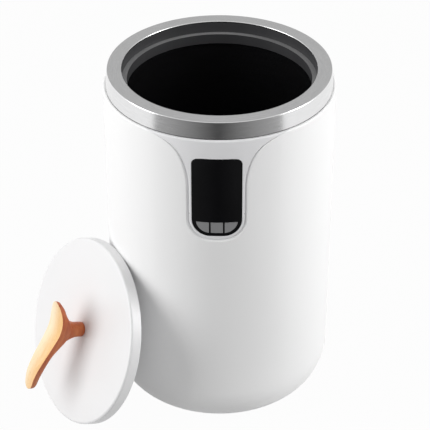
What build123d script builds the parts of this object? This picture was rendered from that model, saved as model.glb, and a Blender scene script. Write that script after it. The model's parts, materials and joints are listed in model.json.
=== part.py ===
"""Towel warmer bucket: a heated liner in a round white housing, with its lid leaning against it.

Millimetres, +Z up.  The origin is the middle of the foot ring where it meets the floor, and the
control panel faces -Y.  The lid is built in its own plane, whose +Z points out of its top face
and whose +Y runs up its slope, and is then laid against the side of the housing.
"""

import os
from math import asin, cos, degrees, pi, radians, sin, sqrt

from build123d import *

# ---------------------------------------------------------------- driving dimensions
# Housing
TOTAL_HEIGHT = 508.0            # floor to the top of the rim ring
FOOT_HEIGHT = 4.0               # rubber below the housing
SHELL_TOP_RADIUS = 160.0
SHELL_FOOT_RADIUS = 157.0
SHELL_WALL = 2.5
SHELL_FOOT_ROUND = 42.0
SHELL_LIP_ROUND = 2.5
DECK_WIDTH = 16.0               # shelf turned in at the top of the shell

# Rim ring
RING_TOP_RADIUS = 154.0
RING_BASE_RADIUS = 156.5
RING_HEIGHT = 23.5
RING_WALL = 2.0
RING_EDGE_ROUND = 1.2
RING_SEAM = 1.0                 # shadow gap between ring and housing
RING_BOSS_RADIUS = 3.6
RIM_SCREW_COUNT = 8
RIM_SCREW_CIRCLE_RADIUS = 147.5

# Mouth and collar
LID_RADIUS = 133.0
MOUTH_GAP = 1.0                 # lid to recess wall, all round
LEDGE_WIDTH = 7.0
COLLAR_WALL = 2.5
COLLAR_DROP = 14.4
COLLAR_FLANGE = 2.0

# Heated liner and what wraps it
LINER_MOUTH_RADIUS = 131.0
LINER_FLOOR_RADIUS = 127.0
LINER_WALL = 1.2
LINER_FLANGE_WIDTH = 4.0
LINER_FLOOR_ROUND = 18.0
LINER_FLOOR_HEIGHT = 60.0       # underside of the liner above the floor
HEATER_THICKNESS = 1.5
HEATER_LOW_MARGIN = 30.0
HEATER_HEIGHT = 240.0
INSULATION_THICKNESS = 5.5
INSULATION_HEIGHT = 376.0

# Base
BASE_RADIUS = 112.0
BASE_WALL = 3.0
BASE_LEDGE_WIDTH = 12.0
BASE_LEDGE_THICKNESS = 2.5
BASE_SCREW_COUNT = 6
BASE_BOSS_HEIGHT = 9.0
FOOT_RING_RADIUS = 94.0         # middle of its width
FOOT_RING_WIDTH = 8.0
FOOT_KEY_WIDTH = 2.4
FOOT_KEY_HEIGHT = 1.6
STAND_WALL_RADIUS = 95.0
STAND_WALL = 2.5
STAND_FLANGE_WIDTH = 10.0
STAND_FLANGE_THICKNESS = 2.5
STAND_WINDOW_COUNT = 8
STAND_WINDOW_WIDTH = 26.0
STAND_WINDOW_SILL = 8.0

# Control panel
TONGUE_HALF_WIDTH = 39.2
TONGUE_LOW_Z = 328.0
TONGUE_CORNER_RADIUS = 32.0
TONGUE_FLARE_Z = 419.0          # where the sides start to flare out
TONGUE_FLARE_RADIUS = 75.0
PANEL_SEAM = 0.9
PANEL_LAP = 4.0                 # flange behind the housing wall
PANEL_LAP_THICKNESS = 1.5
WINDOW_HALF_WIDTH = 33.5
WINDOW_LOW_Z = 335.3
WINDOW_HIGH_Z = 455.0
WINDOW_LOW_CORNER = 24.0
WINDOW_HIGH_CORNER = 8.5
WINDOW_THICKNESS = 1.8
WINDOW_SET_BACK = 0.3
WINDOW_SHELF = 1.5
BEZEL_BEVEL = 0.8

# Buttons
BUTTON_INSET = 5.4              # from the window's outline
BUTTON_ROW_HEIGHT = 16.0
BUTTON_MIDDLE_HALF_WIDTH = 8.2
BUTTON_SPACING = 2.4            # bar of window between two buttons
BUTTON_CLEARANCE = 0.25
BUTTON_PROUD = 0.4
BUTTON_LIP = 0.8
BUTTON_LIP_THICKNESS = 1.5
BUTTON_TRAVEL = 0.8
BUTTON_POST_RADIUS = 2.5

# Electronics behind the panel
BOARD_FRONT_Y = -148.4
BOARD_THICKNESS = 1.6
BOARD_HALF_WIDTH = 40.0
BOARD_EDGE_MARGIN = 4.0         # board beyond the window, top and bottom
BOARD_COVER_DEPTH = 5.6
BOARD_COVER_WALL = 1.6
PANEL_SCREW_X = 36.0
PANEL_SCREW_INSET = 12.0
SWITCH_SIZE = 6.0
SWITCH_BODY = 3.5
SWITCH_PLUNGER_RADIUS = 1.5
SWITCH_PLUNGER_LENGTH = 0.8
DISPLAY_HALF_WIDTH = 27.0
DISPLAY_MARGIN = 10.0           # module to the window's top edge
DISPLAY_DEPTH = 5.6

# Power electronics in the base and under the liner
POWER_BOARD_LENGTH = 96.0
POWER_BOARD_WIDTH = 64.0
POWER_POST_HEIGHT = 9.0
POWER_POST_RADIUS = 4.0
RELAY_SIZE = (22.0, 18.0, 15.0)
TRANSFORMER_SIZE = (20.0, 20.0, 17.0)
HEATER_PLUG_SIZE = (12.0, 12.0, 10.0)
CAPACITOR_RADIUS = 6.0
CAPACITOR_HEIGHT = 14.0
TERMINAL_LENGTH = 32.0
TERMINAL_DEPTH = 10.0
TERMINAL_HEIGHT = 11.0
TERMINAL_WAYS = 4
TERMINAL_HOLE_RADIUS = 2.2
LEAD_RADIUS = 2.4
LEAD_BEND = 10.0
LEAD_RISE = 6.0                 # leads above the mains board
SENSOR_CIRCLE_RADIUS = 34.0     # thermostat and probe from the axis
CUTOUT_RADIUS = 8.5
CUTOUT_CAP_RADIUS = 7.5
CUTOUT_CAP_HEIGHT = 1.2
CUTOUT_HEIGHT = 9.0
NTC_RADIUS = 4.0
NTC_HEIGHT = 4.0
FUSE_Y = 40.0
FUSE_RADIUS = 2.2
FUSE_LENGTH = 14.0
FUSE_LEAD_RADIUS = 0.6
FUSE_LEAD_SPAN = 30.0
FUSE_CLIP_LENGTH = 8.0
FUSE_CLIP_EAR = 5.0
FUSE_CLIP_WALL = 1.0
GLAND_BORE_RADIUS = 3.6
GLAND_NECK_RADIUS = 6.5
GLAND_FLANGE_RADIUS = 10.0
GLAND_FLANGE_THICKNESS = 2.5
GLAND_TAIL = 8.0
GLAND_ABOVE_ROUND = 16.0

# Lid
LID_THICKNESS = 16.7
LID_WALL = 2.5
LID_FACE_ROUND = 3.0
LID_RIM_ROUND = 1.0
LID_SCREW_COUNT = 6
LID_SCREW_CIRCLE_RADIUS = 119.0
LID_PLATE_WALL = 2.5
LID_PLUG_RADIUS = 110.0
LID_PLUG_DEPTH = 6.0
LID_PLUG_ROUND = 4.0
GASKET_WIDTH = 2.6
GASKET_THICKNESS = 1.8
GASKET_PROUD = 0.3
LID_LEAN = 19.5                 # degrees its face looks up from level
LID_AZIMUTH = 211.4             # degrees its face looks, about Z from +X
LID_SIDE_SHIFT = -17.7          # along its edge, from the line through the housing's axis

# Handle
STEM_RADIUS = 10.5
STEM_STRAIGHT = 12.0
HANDLE_UP_ARM = 43.0
HANDLE_DOWN_ARM = 96.0
HANDLE_BEND_HEIGHT = 50.0
HANDLE_TIP_HEIGHT = 62.0
HANDLE_WIDTH = 28.0
HANDLE_THICKNESS = 13.0
HANDLE_BOLT_RADIUS = 2.5
HANDLE_BOLT_DEPTH = 26.0
HANDLE_BOSS_RADIUS = 9.0
HANDLE_BOSS_HEIGHT = 4.0
WASHER_RADIUS = 7.0
WASHER_THICKNESS = 1.2

# Screws
SCREW_RADIUS = 1.7
SCREW_HEAD_RADIUS = 3.2
SCREW_HEAD_HEIGHT = 2.0
SMALL_SCREW_RADIUS = 1.3
SMALL_SCREW_HEAD_RADIUS = 2.6
SMALL_SCREW_HEAD_HEIGHT = 1.6

# Clearances
FIT = 0.2                       # between nested pieces
PILOT_FIT = 0.02                # screw in its pilot hole
HOLE_FIT = 0.25                 # screw through a clearance hole
SEAT_GAP = 0.3                  # pieces that move or lean, to what they rest on
SWITCH_GAP = 0.05               # pressed button to its switch

# ---------------------------------------------------------------- derived sizes
RING_BASE_Z = TOTAL_HEIGHT - RING_HEIGHT
DECK_Z = RING_BASE_Z - RING_SEAM
DECK_RADIUS = SHELL_TOP_RADIUS - DECK_WIDTH
RING_CEILING_Z = TOTAL_HEIGHT - RING_WALL
MOUTH_RADIUS = LID_RADIUS + MOUTH_GAP
LEDGE_Z = TOTAL_HEIGHT - LID_THICKNESS - GASKET_PROUD
LEDGE_RADIUS = MOUTH_RADIUS - LEDGE_WIDTH
COLLAR_LOW_Z = LEDGE_Z - COLLAR_DROP
COLLAR_FLANGE_RADIUS = RING_BASE_RADIUS - RING_WALL - FIT - 0.5
LINER_TOP_Z = COLLAR_LOW_Z
LINER_OUTER_TOP = LINER_MOUTH_RADIUS + LINER_WALL
LINER_OUTER_FLOOR = LINER_FLOOR_RADIUS + LINER_WALL
HEATER_LOW_Z = LINER_FLOOR_HEIGHT + HEATER_LOW_MARGIN
INSULATION_LOW_Z = HEATER_LOW_Z + FIT
BASE_TOP_Z = FOOT_HEIGHT + BASE_WALL
BASE_LEDGE_RADIUS = BASE_RADIUS - BASE_LEDGE_WIDTH
BASE_SCREW_RADIUS = BASE_RADIUS - BASE_LEDGE_WIDTH / 2
LAP_INSET = SHELL_WALL + FIT
PANEL_DEPTH = LAP_INSET + PANEL_LAP_THICKNESS
WINDOW_BACK = WINDOW_SET_BACK + WINDOW_THICKNESS
BUTTON_LOW_Z = WINDOW_LOW_Z + BUTTON_INSET
BUTTON_HIGH_Z = BUTTON_LOW_Z + BUTTON_ROW_HEIGHT
BUTTON_MIDDLE_Z = (BUTTON_LOW_Z + BUTTON_HIGH_Z) / 2
BUTTON_ROW_HALF_WIDTH = WINDOW_HALF_WIDTH - BUTTON_INSET
BOARD_BACK_Y = BOARD_FRONT_Y + BOARD_THICKNESS
BOARD_COVER_BACK_Y = BOARD_BACK_Y + BOARD_COVER_DEPTH
BOARD_LOW_Z = WINDOW_LOW_Z - BOARD_EDGE_MARGIN
BOARD_HIGH_Z = WINDOW_HIGH_Z + BOARD_EDGE_MARGIN
SWITCH_FRONT_Y = BOARD_FRONT_Y - SWITCH_BODY - SWITCH_PLUNGER_LENGTH
POST_BACK_Y = SWITCH_FRONT_Y - SWITCH_GAP - BUTTON_TRAVEL
POWER_BOARD_Z = BASE_TOP_Z + POWER_POST_HEIGHT
POWER_BOARD_TOP_Z = POWER_BOARD_Z + BOARD_THICKNESS
TERMINAL_FRONT_Y = 2.0 - POWER_BOARD_WIDTH / 2
FUSE_AXIS_Z = LINER_FLOOR_HEIGHT - FUSE_RADIUS - FIT
GLAND_Z = FOOT_HEIGHT + SHELL_FOOT_ROUND + GLAND_ABOVE_ROUND
LID_BACK_Z = -LID_THICKNESS
GASKET_OUTER_RADIUS = LID_RADIUS - LID_WALL - FIT
GASKET_INNER_RADIUS = GASKET_OUTER_RADIUS - GASKET_WIDTH
GASKET_SEAT_Z = LID_BACK_Z - GASKET_PROUD + GASKET_THICKNESS
LID_PLATE_TOP_Z = GASKET_SEAT_Z + LID_PLATE_WALL

SHELL_TAPER = (SHELL_TOP_RADIUS - SHELL_FOOT_RADIUS) / (DECK_Z - FOOT_HEIGHT)
LINER_TAPER = (LINER_OUTER_TOP - LINER_OUTER_FLOOR) / (LINER_TOP_Z - LINER_FLOOR_HEIGHT)


def shell_radius(z):
    """Outer radius of the housing's straight side."""
    return SHELL_FOOT_RADIUS + SHELL_TAPER * (z - FOOT_HEIGHT)


def liner_radius(z):
    """Outer radius of the liner's straight side."""
    return LINER_OUTER_FLOOR + LINER_TAPER * (z - LINER_FLOOR_HEIGHT)


# ---------------------------------------------------------------- building helpers
def turned(points):
    """Solid of revolution about Z from a closed list of (radius, z) points."""
    return revolve(Plane.XZ * make_face(Polyline(*points, close=True)), Axis.Z)


def tube(radius_out, radius_in, z_low, z_high):
    """Plain ring between two heights."""
    ring = Circle(radius_out) - Circle(radius_in)
    return extrude(Pos(0, 0, z_low) * ring, z_high - z_low)


def disc(radius, z_low, z_high, x=0.0, y=0.0):
    """Plain upright cylinder between two heights."""
    return extrude(Pos(x, y, z_low) * Circle(radius), z_high - z_low)


def rod_y(radius, x, z, y_low, y_high):
    """Cylinder along Y between two depths."""
    return extrude(Plane.XZ.offset(-y_low) * Pos(x, z) * Circle(radius), -(y_high - y_low))


def block(x_low, x_high, y_low, y_high, z_low, z_high):
    """Box given by its faces."""
    size = (x_high - x_low, y_high - y_low, z_high - z_low)
    centre = ((x_low + x_high) / 2, (y_low + y_high) / 2, (z_low + z_high) / 2)
    return Pos(*centre) * Box(*size)


def ring_places(count, radius, first_degrees=0.0):
    """Points spaced evenly round a circle, from -Y."""
    turns = [radians(first_degrees + 360.0 * k / count) for k in range(count)]
    return [(radius * sin(turn), -radius * cos(turn)) for turn in turns]


def shell_core(inset, top_z=DECK_Z):
    """Solid housing form, its side and bottom moved in by inset."""
    low = FOOT_HEIGHT + inset
    half = [(0, low), (shell_radius(low) - inset, low), (shell_radius(top_z) - inset, top_z), (0, top_z)]
    face = make_face(Polyline(*half, close=True))
    corners = face.vertices().sort_by(Axis.X)
    foot = [v for v in corners if v.X > 1 and v.Y < low + 1]
    face = fillet(foot, SHELL_FOOT_ROUND - inset)
    if inset == 0:
        lip = [v for v in face.vertices() if v.X > 1 and v.Y > top_z - 1]
        face = fillet(lip, SHELL_LIP_ROUND)
    return revolve(Plane.XZ * face, Axis.Z)


def shell_layer(outside, inside):
    """Part of the front wall between two depths below the housing's surface."""
    low = TONGUE_LOW_Z - 3 * PANEL_LAP
    def cone(depth):
        return [(shell_radius(z) - depth, z) for z in (low, DECK_Z)]
    outer_side, inner_side = cone(outside), cone(inside)
    return turned(outer_side + inner_side[::-1])


def front_prism(face):
    """A front-view outline carried back to the axis."""
    return extrude(Plane.XZ * face, 2 * SHELL_TOP_RADIUS)


def tongue_outline(grow, top_z=DECK_Z + 1.0):
    """Front view of the control panel: round-bottomed, flaring out under the rim ring."""
    centre_x = TONGUE_HALF_WIDTH - TONGUE_CORNER_RADIUS
    corner_z = TONGUE_LOW_Z + TONGUE_CORNER_RADIUS
    corner = TONGUE_CORNER_RADIUS + grow
    half = TONGUE_HALF_WIDTH + grow
    flare = TONGUE_FLARE_RADIUS - grow
    flare_x = TONGUE_HALF_WIDTH + TONGUE_FLARE_RADIUS
    sweep = degrees(asin((top_z - TONGUE_FLARE_Z) / flare))
    top_x = flare_x - flare * cos(radians(sweep))
    edges = [
        Line((-centre_x, TONGUE_LOW_Z - grow), (centre_x, TONGUE_LOW_Z - grow)),
        CenterArc((centre_x, corner_z), corner, -90, 90),
        Line((half, corner_z), (half, TONGUE_FLARE_Z)),
        CenterArc((flare_x, TONGUE_FLARE_Z), flare, 180, -sweep),
        Line((top_x, top_z), (-top_x, top_z)),
        CenterArc((-flare_x, TONGUE_FLARE_Z), flare, sweep, -sweep),
        Line((-half, TONGUE_FLARE_Z), (-half, corner_z)),
        CenterArc((-centre_x, corner_z), corner, 180, 90),
    ]
    return make_face(edges)


def window_outline(grow):
    """Front view of the display window."""
    half = WINDOW_HALF_WIDTH + grow
    low, high = WINDOW_LOW_Z - grow, WINDOW_HIGH_Z + grow
    face = make_face(Polyline((-half, low), (half, low), (half, high), (-half, high), close=True))
    middle = (low + high) / 2
    face = fillet([v for v in face.vertices() if v.Y < middle], WINDOW_LOW_CORNER + grow)
    return fillet([v for v in face.vertices() if v.Y > high - 0.1], WINDOW_HIGH_CORNER + grow)


def button_outline(name, grow):
    """Front view of one button: the outer two follow the window's round corners."""
    edge = BUTTON_MIDDLE_HALF_WIDTH + BUTTON_SPACING
    spans = {
        "left": (-BUTTON_ROW_HALF_WIDTH - grow, -edge + grow),
        "middle": (-BUTTON_MIDDLE_HALF_WIDTH - grow, BUTTON_MIDDLE_HALF_WIDTH + grow),
        "right": (edge - grow, BUTTON_ROW_HALF_WIDTH + grow),
    }
    x_low, x_high = spans[name]
    z_low, z_high = BUTTON_LOW_Z - grow, BUTTON_HIGH_Z + grow
    strip = make_face(Polyline((x_low, z_low), (x_high, z_low), (x_high, z_high), (x_low, z_high), close=True))
    return strip & window_outline(grow - BUTTON_INSET)


def button_middle_x(name):
    """Where a button presses its switch."""
    side = BUTTON_MIDDLE_HALF_WIDTH + BUTTON_SPACING
    reach = (side + BUTTON_ROW_HALF_WIDTH) / 2 - 1.5
    return {"left": -reach, "middle": 0.0, "right": reach}[name]


def screw_up(x, y, seat_z, length, radius, head_radius, head_height):
    """Pan-head screw driven upward: its head hangs below the seat."""
    head = disc(head_radius, seat_z - head_height, seat_z, x, y)
    head = fillet(head.edges().filter_by(GeomType.CIRCLE).sort_by(Axis.Z)[0:1], head_height / 2)
    shank = disc(radius, seat_z, seat_z + length, x, y)
    return head + shank


BUTTONS = ("left", "middle", "right")
RIM_SCREWS = ring_places(RIM_SCREW_COUNT, RIM_SCREW_CIRCLE_RADIUS, 180.0 / RIM_SCREW_COUNT)
BASE_SCREWS = ring_places(BASE_SCREW_COUNT, BASE_SCREW_RADIUS, 180.0 / BASE_SCREW_COUNT)
LID_SCREWS = ring_places(LID_SCREW_COUNT, LID_SCREW_CIRCLE_RADIUS)
PANEL_SCREWS = [
    (side * PANEL_SCREW_X, z)
    for side in (-1, 1)
    for z in (BOARD_LOW_Z + 3 * PANEL_SCREW_INSET, BOARD_HIGH_Z - PANEL_SCREW_INSET)
]
POWER_POSTS = [
    (side_x * (POWER_BOARD_LENGTH / 2 - POWER_POST_RADIUS), side_y * (POWER_BOARD_WIDTH / 2 - POWER_POST_RADIUS))
    for side_x in (-1, 1)
    for side_y in (-1, 1)
]


# ---------------------------------------------------------------- housing
def full_shell():
    """Housing with its deck and base ledge, before the panel slot is cut."""
    hollow = shell_core(SHELL_WALL, DECK_Z - SHELL_WALL)
    shell = shell_core(0) - hollow
    shell -= disc(DECK_RADIUS, DECK_Z - 2 * SHELL_WALL, DECK_Z + SHELL_WALL)
    shell -= disc(BASE_RADIUS, 0, FOOT_HEIGHT + 2 * SHELL_WALL)
    ledge_top = BASE_TOP_Z + BASE_LEDGE_THICKNESS
    shell += turned([
        (BASE_RADIUS, FOOT_HEIGHT), (BASE_RADIUS, BASE_TOP_Z), (BASE_LEDGE_RADIUS, BASE_TOP_Z),
        (BASE_LEDGE_RADIUS, ledge_top), (BASE_RADIUS + SHELL_WALL, ledge_top),
        (BASE_RADIUS + SHELL_WALL, FOOT_HEIGHT),
    ])
    for x, y in RIM_SCREWS:
        shell -= disc(SCREW_RADIUS + HOLE_FIT, DECK_Z - 2 * SHELL_WALL, DECK_Z + 1, x, y)
    return shell


def outer_shell(shell):
    """White moulded housing, with bosses for the base and the hole for the cord gland."""
    shell = shell - front_prism(tongue_outline(0))
    top = BASE_TOP_Z + BASE_LEDGE_THICKNESS + BASE_BOSS_HEIGHT
    for x, y in BASE_SCREWS:
        shell += disc(SCREW_RADIUS * 2.2, BASE_TOP_Z + BASE_LEDGE_THICKNESS, top, x, y)
        shell -= disc(SCREW_RADIUS + PILOT_FIT, BASE_TOP_Z - 1, top - 1, x, y)
    wall = shell_radius(GLAND_Z)
    shell -= rod_y(GLAND_NECK_RADIUS + FIT, 0, GLAND_Z, wall - 3 * SHELL_WALL, wall + SHELL_WALL)
    return shell


def rims_window(edge):
    """Whether an edge lies on the housing's surface round the window."""
    middle = edge.position_at(0.5)
    on_surface = abs(sqrt(middle.X ** 2 + middle.Y ** 2) - shell_radius(middle.Z)) < 0.05
    beside = abs(middle.X) < WINDOW_HALF_WIDTH + 1
    return on_surface and beside and WINDOW_LOW_Z - 1 < middle.Z < WINDOW_HIGH_Z + 1


def control_panel(shell):
    """Tongue-shaped panel let into the housing, with a lap behind the slot and a window opening."""
    skin = shell & front_prism(tongue_outline(-PANEL_SEAM))
    backing = shell_layer(SHELL_WALL - 0.5, PANEL_DEPTH) & front_prism(
        tongue_outline(-PANEL_SEAM, DECK_Z - SHELL_WALL + 0.5))
    lap = shell_layer(LAP_INSET, PANEL_DEPTH) & front_prism(
        tongue_outline(PANEL_LAP, DECK_Z - SHELL_WALL - FIT))
    recess = shell_layer(-1.0, WINDOW_BACK) & front_prism(window_outline(FIT))
    skin -= recess
    skin = chamfer([edge for edge in skin.edges() if rims_window(edge)], BEZEL_BEVEL)
    panel = skin + (backing - recess) + lap
    panel -= front_prism(window_outline(-WINDOW_SHELF))
    for x, z in PANEL_SCREWS:
        reach = sqrt((shell_radius(z) - PANEL_DEPTH) ** 2 - x ** 2) + 1.0
        panel += rod_y(SMALL_SCREW_RADIUS * 2.3, x, z, -reach, BOARD_FRONT_Y)
        panel -= rod_y(SMALL_SCREW_RADIUS + PILOT_FIT, x, z, -reach - 1.5, BOARD_FRONT_Y + 1)
    return panel


def display_window():
    """Curved black window with three openings for the buttons."""
    window = shell_layer(WINDOW_SET_BACK, WINDOW_BACK) & front_prism(window_outline(0))
    for name in BUTTONS:
        window -= front_prism(button_outline(name, BUTTON_CLEARANCE))
    return window


def button(name):
    """Push button: cap through the window, retaining lip behind it and a post to the switch."""
    cap = shell_layer(-BUTTON_PROUD, WINDOW_BACK + SEAT_GAP + BUTTON_LIP_THICKNESS)
    cap &= front_prism(button_outline(name, 0))
    lip = shell_layer(WINDOW_BACK + SEAT_GAP, WINDOW_BACK + SEAT_GAP + BUTTON_LIP_THICKNESS)
    lip &= front_prism(button_outline(name, BUTTON_LIP))
    x = button_middle_x(name)
    back = sqrt((shell_radius(BUTTON_MIDDLE_Z) - WINDOW_BACK - SEAT_GAP) ** 2 - x ** 2)
    post = rod_y(BUTTON_POST_RADIUS, x, BUTTON_MIDDLE_Z, -back + BUTTON_LIP_THICKNESS / 2, POST_BACK_Y)
    return cap + lip + post


def control_board():
    """Circuit board behind the panel."""
    board = block(-BOARD_HALF_WIDTH, BOARD_HALF_WIDTH, BOARD_FRONT_Y, BOARD_BACK_Y, BOARD_LOW_Z, BOARD_HIGH_Z)
    for x, z in PANEL_SCREWS:
        board -= rod_y(SMALL_SCREW_RADIUS + HOLE_FIT, x, z, BOARD_FRONT_Y - 1, BOARD_BACK_Y + 1)
    return board


def tact_switches():
    """One switch under each button."""
    switches = []
    half = SWITCH_SIZE / 2
    for name in BUTTONS:
        x = button_middle_x(name)
        body = block(x - half, x + half, BOARD_FRONT_Y - SWITCH_BODY, BOARD_FRONT_Y,
                     BUTTON_MIDDLE_Z - half, BUTTON_MIDDLE_Z + half)
        plunger = rod_y(SWITCH_PLUNGER_RADIUS, x, BUTTON_MIDDLE_Z, SWITCH_FRONT_Y, BOARD_FRONT_Y - SWITCH_BODY)
        switches.append(body + plunger)
    return Compound(switches)


def display_module():
    """Digit display standing on the board behind the window."""
    low = BUTTON_HIGH_Z + BUTTON_LIP + 4.0
    high = WINDOW_HIGH_Z - DISPLAY_MARGIN
    return block(-DISPLAY_HALF_WIDTH, DISPLAY_HALF_WIDTH, BOARD_FRONT_Y - DISPLAY_DEPTH, BOARD_FRONT_Y, low, high)


def board_cover():
    """Tray over the back of the board, held by the panel screws."""
    half = BOARD_HALF_WIDTH
    tray = block(-half, half, BOARD_BACK_Y, BOARD_COVER_BACK_Y, BOARD_LOW_Z, BOARD_HIGH_Z)
    tray -= block(-half + BOARD_COVER_WALL, half - BOARD_COVER_WALL, BOARD_BACK_Y - 1,
                  BOARD_COVER_BACK_Y - BOARD_COVER_WALL, BOARD_LOW_Z + BOARD_COVER_WALL,
                  BOARD_HIGH_Z - BOARD_COVER_WALL)
    for x, z in PANEL_SCREWS:
        tray += rod_y(SMALL_SCREW_RADIUS * 2.3, x, z, BOARD_BACK_Y, BOARD_COVER_BACK_Y)
    for x, z in PANEL_SCREWS:
        tray -= rod_y(SMALL_SCREW_RADIUS + HOLE_FIT, x, z, BOARD_BACK_Y - 1, BOARD_COVER_BACK_Y + 1)
    return tray


def panel_screws():
    """Screws through cover and board into the panel's bosses."""
    screws = []
    for x, z in PANEL_SCREWS:
        reach = sqrt((shell_radius(z) - PANEL_DEPTH) ** 2 - x ** 2) + 2.0
        head = rod_y(SMALL_SCREW_HEAD_RADIUS, x, z, BOARD_COVER_BACK_Y,
                     BOARD_COVER_BACK_Y + SMALL_SCREW_HEAD_HEIGHT)
        screws.append(head + rod_y(SMALL_SCREW_RADIUS, x, z, -reach, BOARD_COVER_BACK_Y))
    return Compound(screws)


# ---------------------------------------------------------------- mouth
def rim_ring():
    """Brushed ring: flat top, flared side and screw bosses inside."""
    outer = [(MOUTH_RADIUS, TOTAL_HEIGHT), (RING_TOP_RADIUS, TOTAL_HEIGHT), (RING_BASE_RADIUS, RING_BASE_Z)]
    inner = [(RING_BASE_RADIUS - RING_WALL, RING_BASE_Z), (RING_TOP_RADIUS - RING_WALL, RING_CEILING_Z),
             (MOUTH_RADIUS, RING_CEILING_Z)]
    face = make_face(Polyline(*outer, *inner, close=True))
    top = [v for v in face.vertices() if v.Y > TOTAL_HEIGHT - 0.1]
    face = fillet(top, RING_EDGE_ROUND)
    ring = revolve(Plane.XZ * face, Axis.Z)
    low = DECK_Z + COLLAR_FLANGE
    for x, y in RIM_SCREWS:
        ring += disc(RING_BOSS_RADIUS, low, RING_CEILING_Z + 0.5, x, y)
    for x, y in RIM_SCREWS:
        ring -= disc(SCREW_RADIUS + PILOT_FIT, low - 1, RING_CEILING_Z - 2, x, y)
    return ring


def inner_collar():
    """Dark moulding that makes the lid's recess and ledge and holds the liner down."""
    flange_top = DECK_Z + COLLAR_FLANGE
    wall = MOUTH_RADIUS + COLLAR_WALL
    band = LEDGE_RADIUS + COLLAR_WALL
    foot = LINER_MOUTH_RADIUS + LINER_FLANGE_WIDTH
    collar = turned([
        (MOUTH_RADIUS, RING_CEILING_Z), (MOUTH_RADIUS, LEDGE_Z), (LEDGE_RADIUS, LEDGE_Z),
        (LEDGE_RADIUS, COLLAR_LOW_Z), (foot, COLLAR_LOW_Z), (foot, COLLAR_LOW_Z + COLLAR_FLANGE),
        (band, COLLAR_LOW_Z + COLLAR_FLANGE), (band, LEDGE_Z - COLLAR_WALL),
        (MOUTH_RADIUS, LEDGE_Z - COLLAR_WALL), (MOUTH_RADIUS, DECK_Z), (COLLAR_FLANGE_RADIUS, DECK_Z),
        (COLLAR_FLANGE_RADIUS, flange_top), (wall, flange_top), (wall, RING_CEILING_Z),
    ])
    for x, y in RIM_SCREWS:
        collar -= disc(SCREW_RADIUS + HOLE_FIT, DECK_Z - 1, flange_top + 1, x, y)
    return collar


def rim_screws():
    """Screws up through the deck and the collar into the ring."""
    length = SHELL_WALL + COLLAR_FLANGE + 10.0
    return Compound([
        screw_up(x, y, DECK_Z - SHELL_WALL, length, SCREW_RADIUS, SCREW_HEAD_RADIUS, SCREW_HEAD_HEIGHT)
        for x, y in RIM_SCREWS
    ])


# ---------------------------------------------------------------- heated liner
def liner_core(grow, top_z, low_z):
    """Solid liner form between two heights, its side moved out by grow."""
    return [(liner_radius(low_z) + grow, low_z), (liner_radius(top_z) + grow, top_z)]


def liner_solid(inset):
    """Closed liner form with its rounded floor."""
    low = LINER_FLOOR_HEIGHT + inset
    half = [(0, low), (liner_radius(low) - inset, low), (liner_radius(LINER_TOP_Z) - inset, LINER_TOP_Z),
            (0, LINER_TOP_Z)]
    face = make_face(Polyline(*half, close=True))
    floor_corner = [v for v in face.vertices() if v.X > 1 and v.Y < low + 1]
    face = fillet(floor_corner, LINER_FLOOR_ROUND + LINER_WALL - inset)
    return revolve(Plane.XZ * face, Axis.Z)


def inner_liner():
    """Black aluminium tub with a flange under the collar."""
    liner = liner_solid(0) - liner_solid(LINER_WALL)
    flange = tube(LINER_MOUTH_RADIUS + LINER_FLANGE_WIDTH, LINER_OUTER_TOP - LINER_WALL / 2,
                  LINER_TOP_Z - LINER_WALL, LINER_TOP_Z)
    return liner + flange


def wrap(inner_grow, outer_grow, low_z, high_z):
    """Sleeve following the liner's taper."""
    inner = liner_core(inner_grow, high_z, low_z)
    outer = liner_core(outer_grow, high_z, low_z)
    return turned(inner + outer[::-1])


def heating_element():
    """Heater mat wrapped round the liner."""
    return wrap(FIT, FIT + HEATER_THICKNESS, HEATER_LOW_Z, HEATER_LOW_Z + HEATER_HEIGHT)


def insulation_blanket():
    """Felt sleeve over the heater."""
    inner = 2 * FIT + HEATER_THICKNESS
    high = min(INSULATION_LOW_Z + INSULATION_HEIGHT, LINER_TOP_Z - LINER_WALL - FIT)
    return wrap(inner, inner + INSULATION_THICKNESS, INSULATION_LOW_Z, high)


# ---------------------------------------------------------------- base
def base_pan():
    """Bottom cover with board posts, a locating ring and radial ribs."""
    pan = disc(BASE_RADIUS - FIT, FOOT_HEIGHT, BASE_TOP_Z)
    for x, y in BASE_SCREWS:
        pan -= disc(SCREW_RADIUS + HOLE_FIT, FOOT_HEIGHT - 1, BASE_TOP_Z + 1, x, y)
        pan -= disc(SCREW_HEAD_RADIUS + HOLE_FIT, FOOT_HEIGHT - 1, FOOT_HEIGHT + SCREW_HEAD_HEIGHT, x, y)
    key = FOOT_KEY_WIDTH / 2 + FIT
    pan -= tube(FOOT_RING_RADIUS + key, FOOT_RING_RADIUS - key, FOOT_HEIGHT - 1, FOOT_HEIGHT + FOOT_KEY_HEIGHT)
    inside = STAND_WALL_RADIUS - STAND_FLANGE_WIDTH + STAND_WALL - FIT
    pan += tube(inside, inside - STAND_WALL, BASE_TOP_Z, BASE_TOP_Z + 2 * STAND_FLANGE_THICKNESS)
    for x, y in POWER_POSTS:
        pan += disc(POWER_POST_RADIUS, BASE_TOP_Z, POWER_BOARD_Z, x, y)
    return pan


def foot_ring():
    """Rubber ring that the bucket stands on, keyed into the base."""
    half, key = FOOT_RING_WIDTH / 2, FOOT_KEY_WIDTH / 2
    ring = tube(FOOT_RING_RADIUS + half, FOOT_RING_RADIUS - half, 0, FOOT_HEIGHT)
    return ring + tube(FOOT_RING_RADIUS + key, FOOT_RING_RADIUS - key, FOOT_HEIGHT, FOOT_HEIGHT + FOOT_KEY_HEIGHT)


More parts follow.
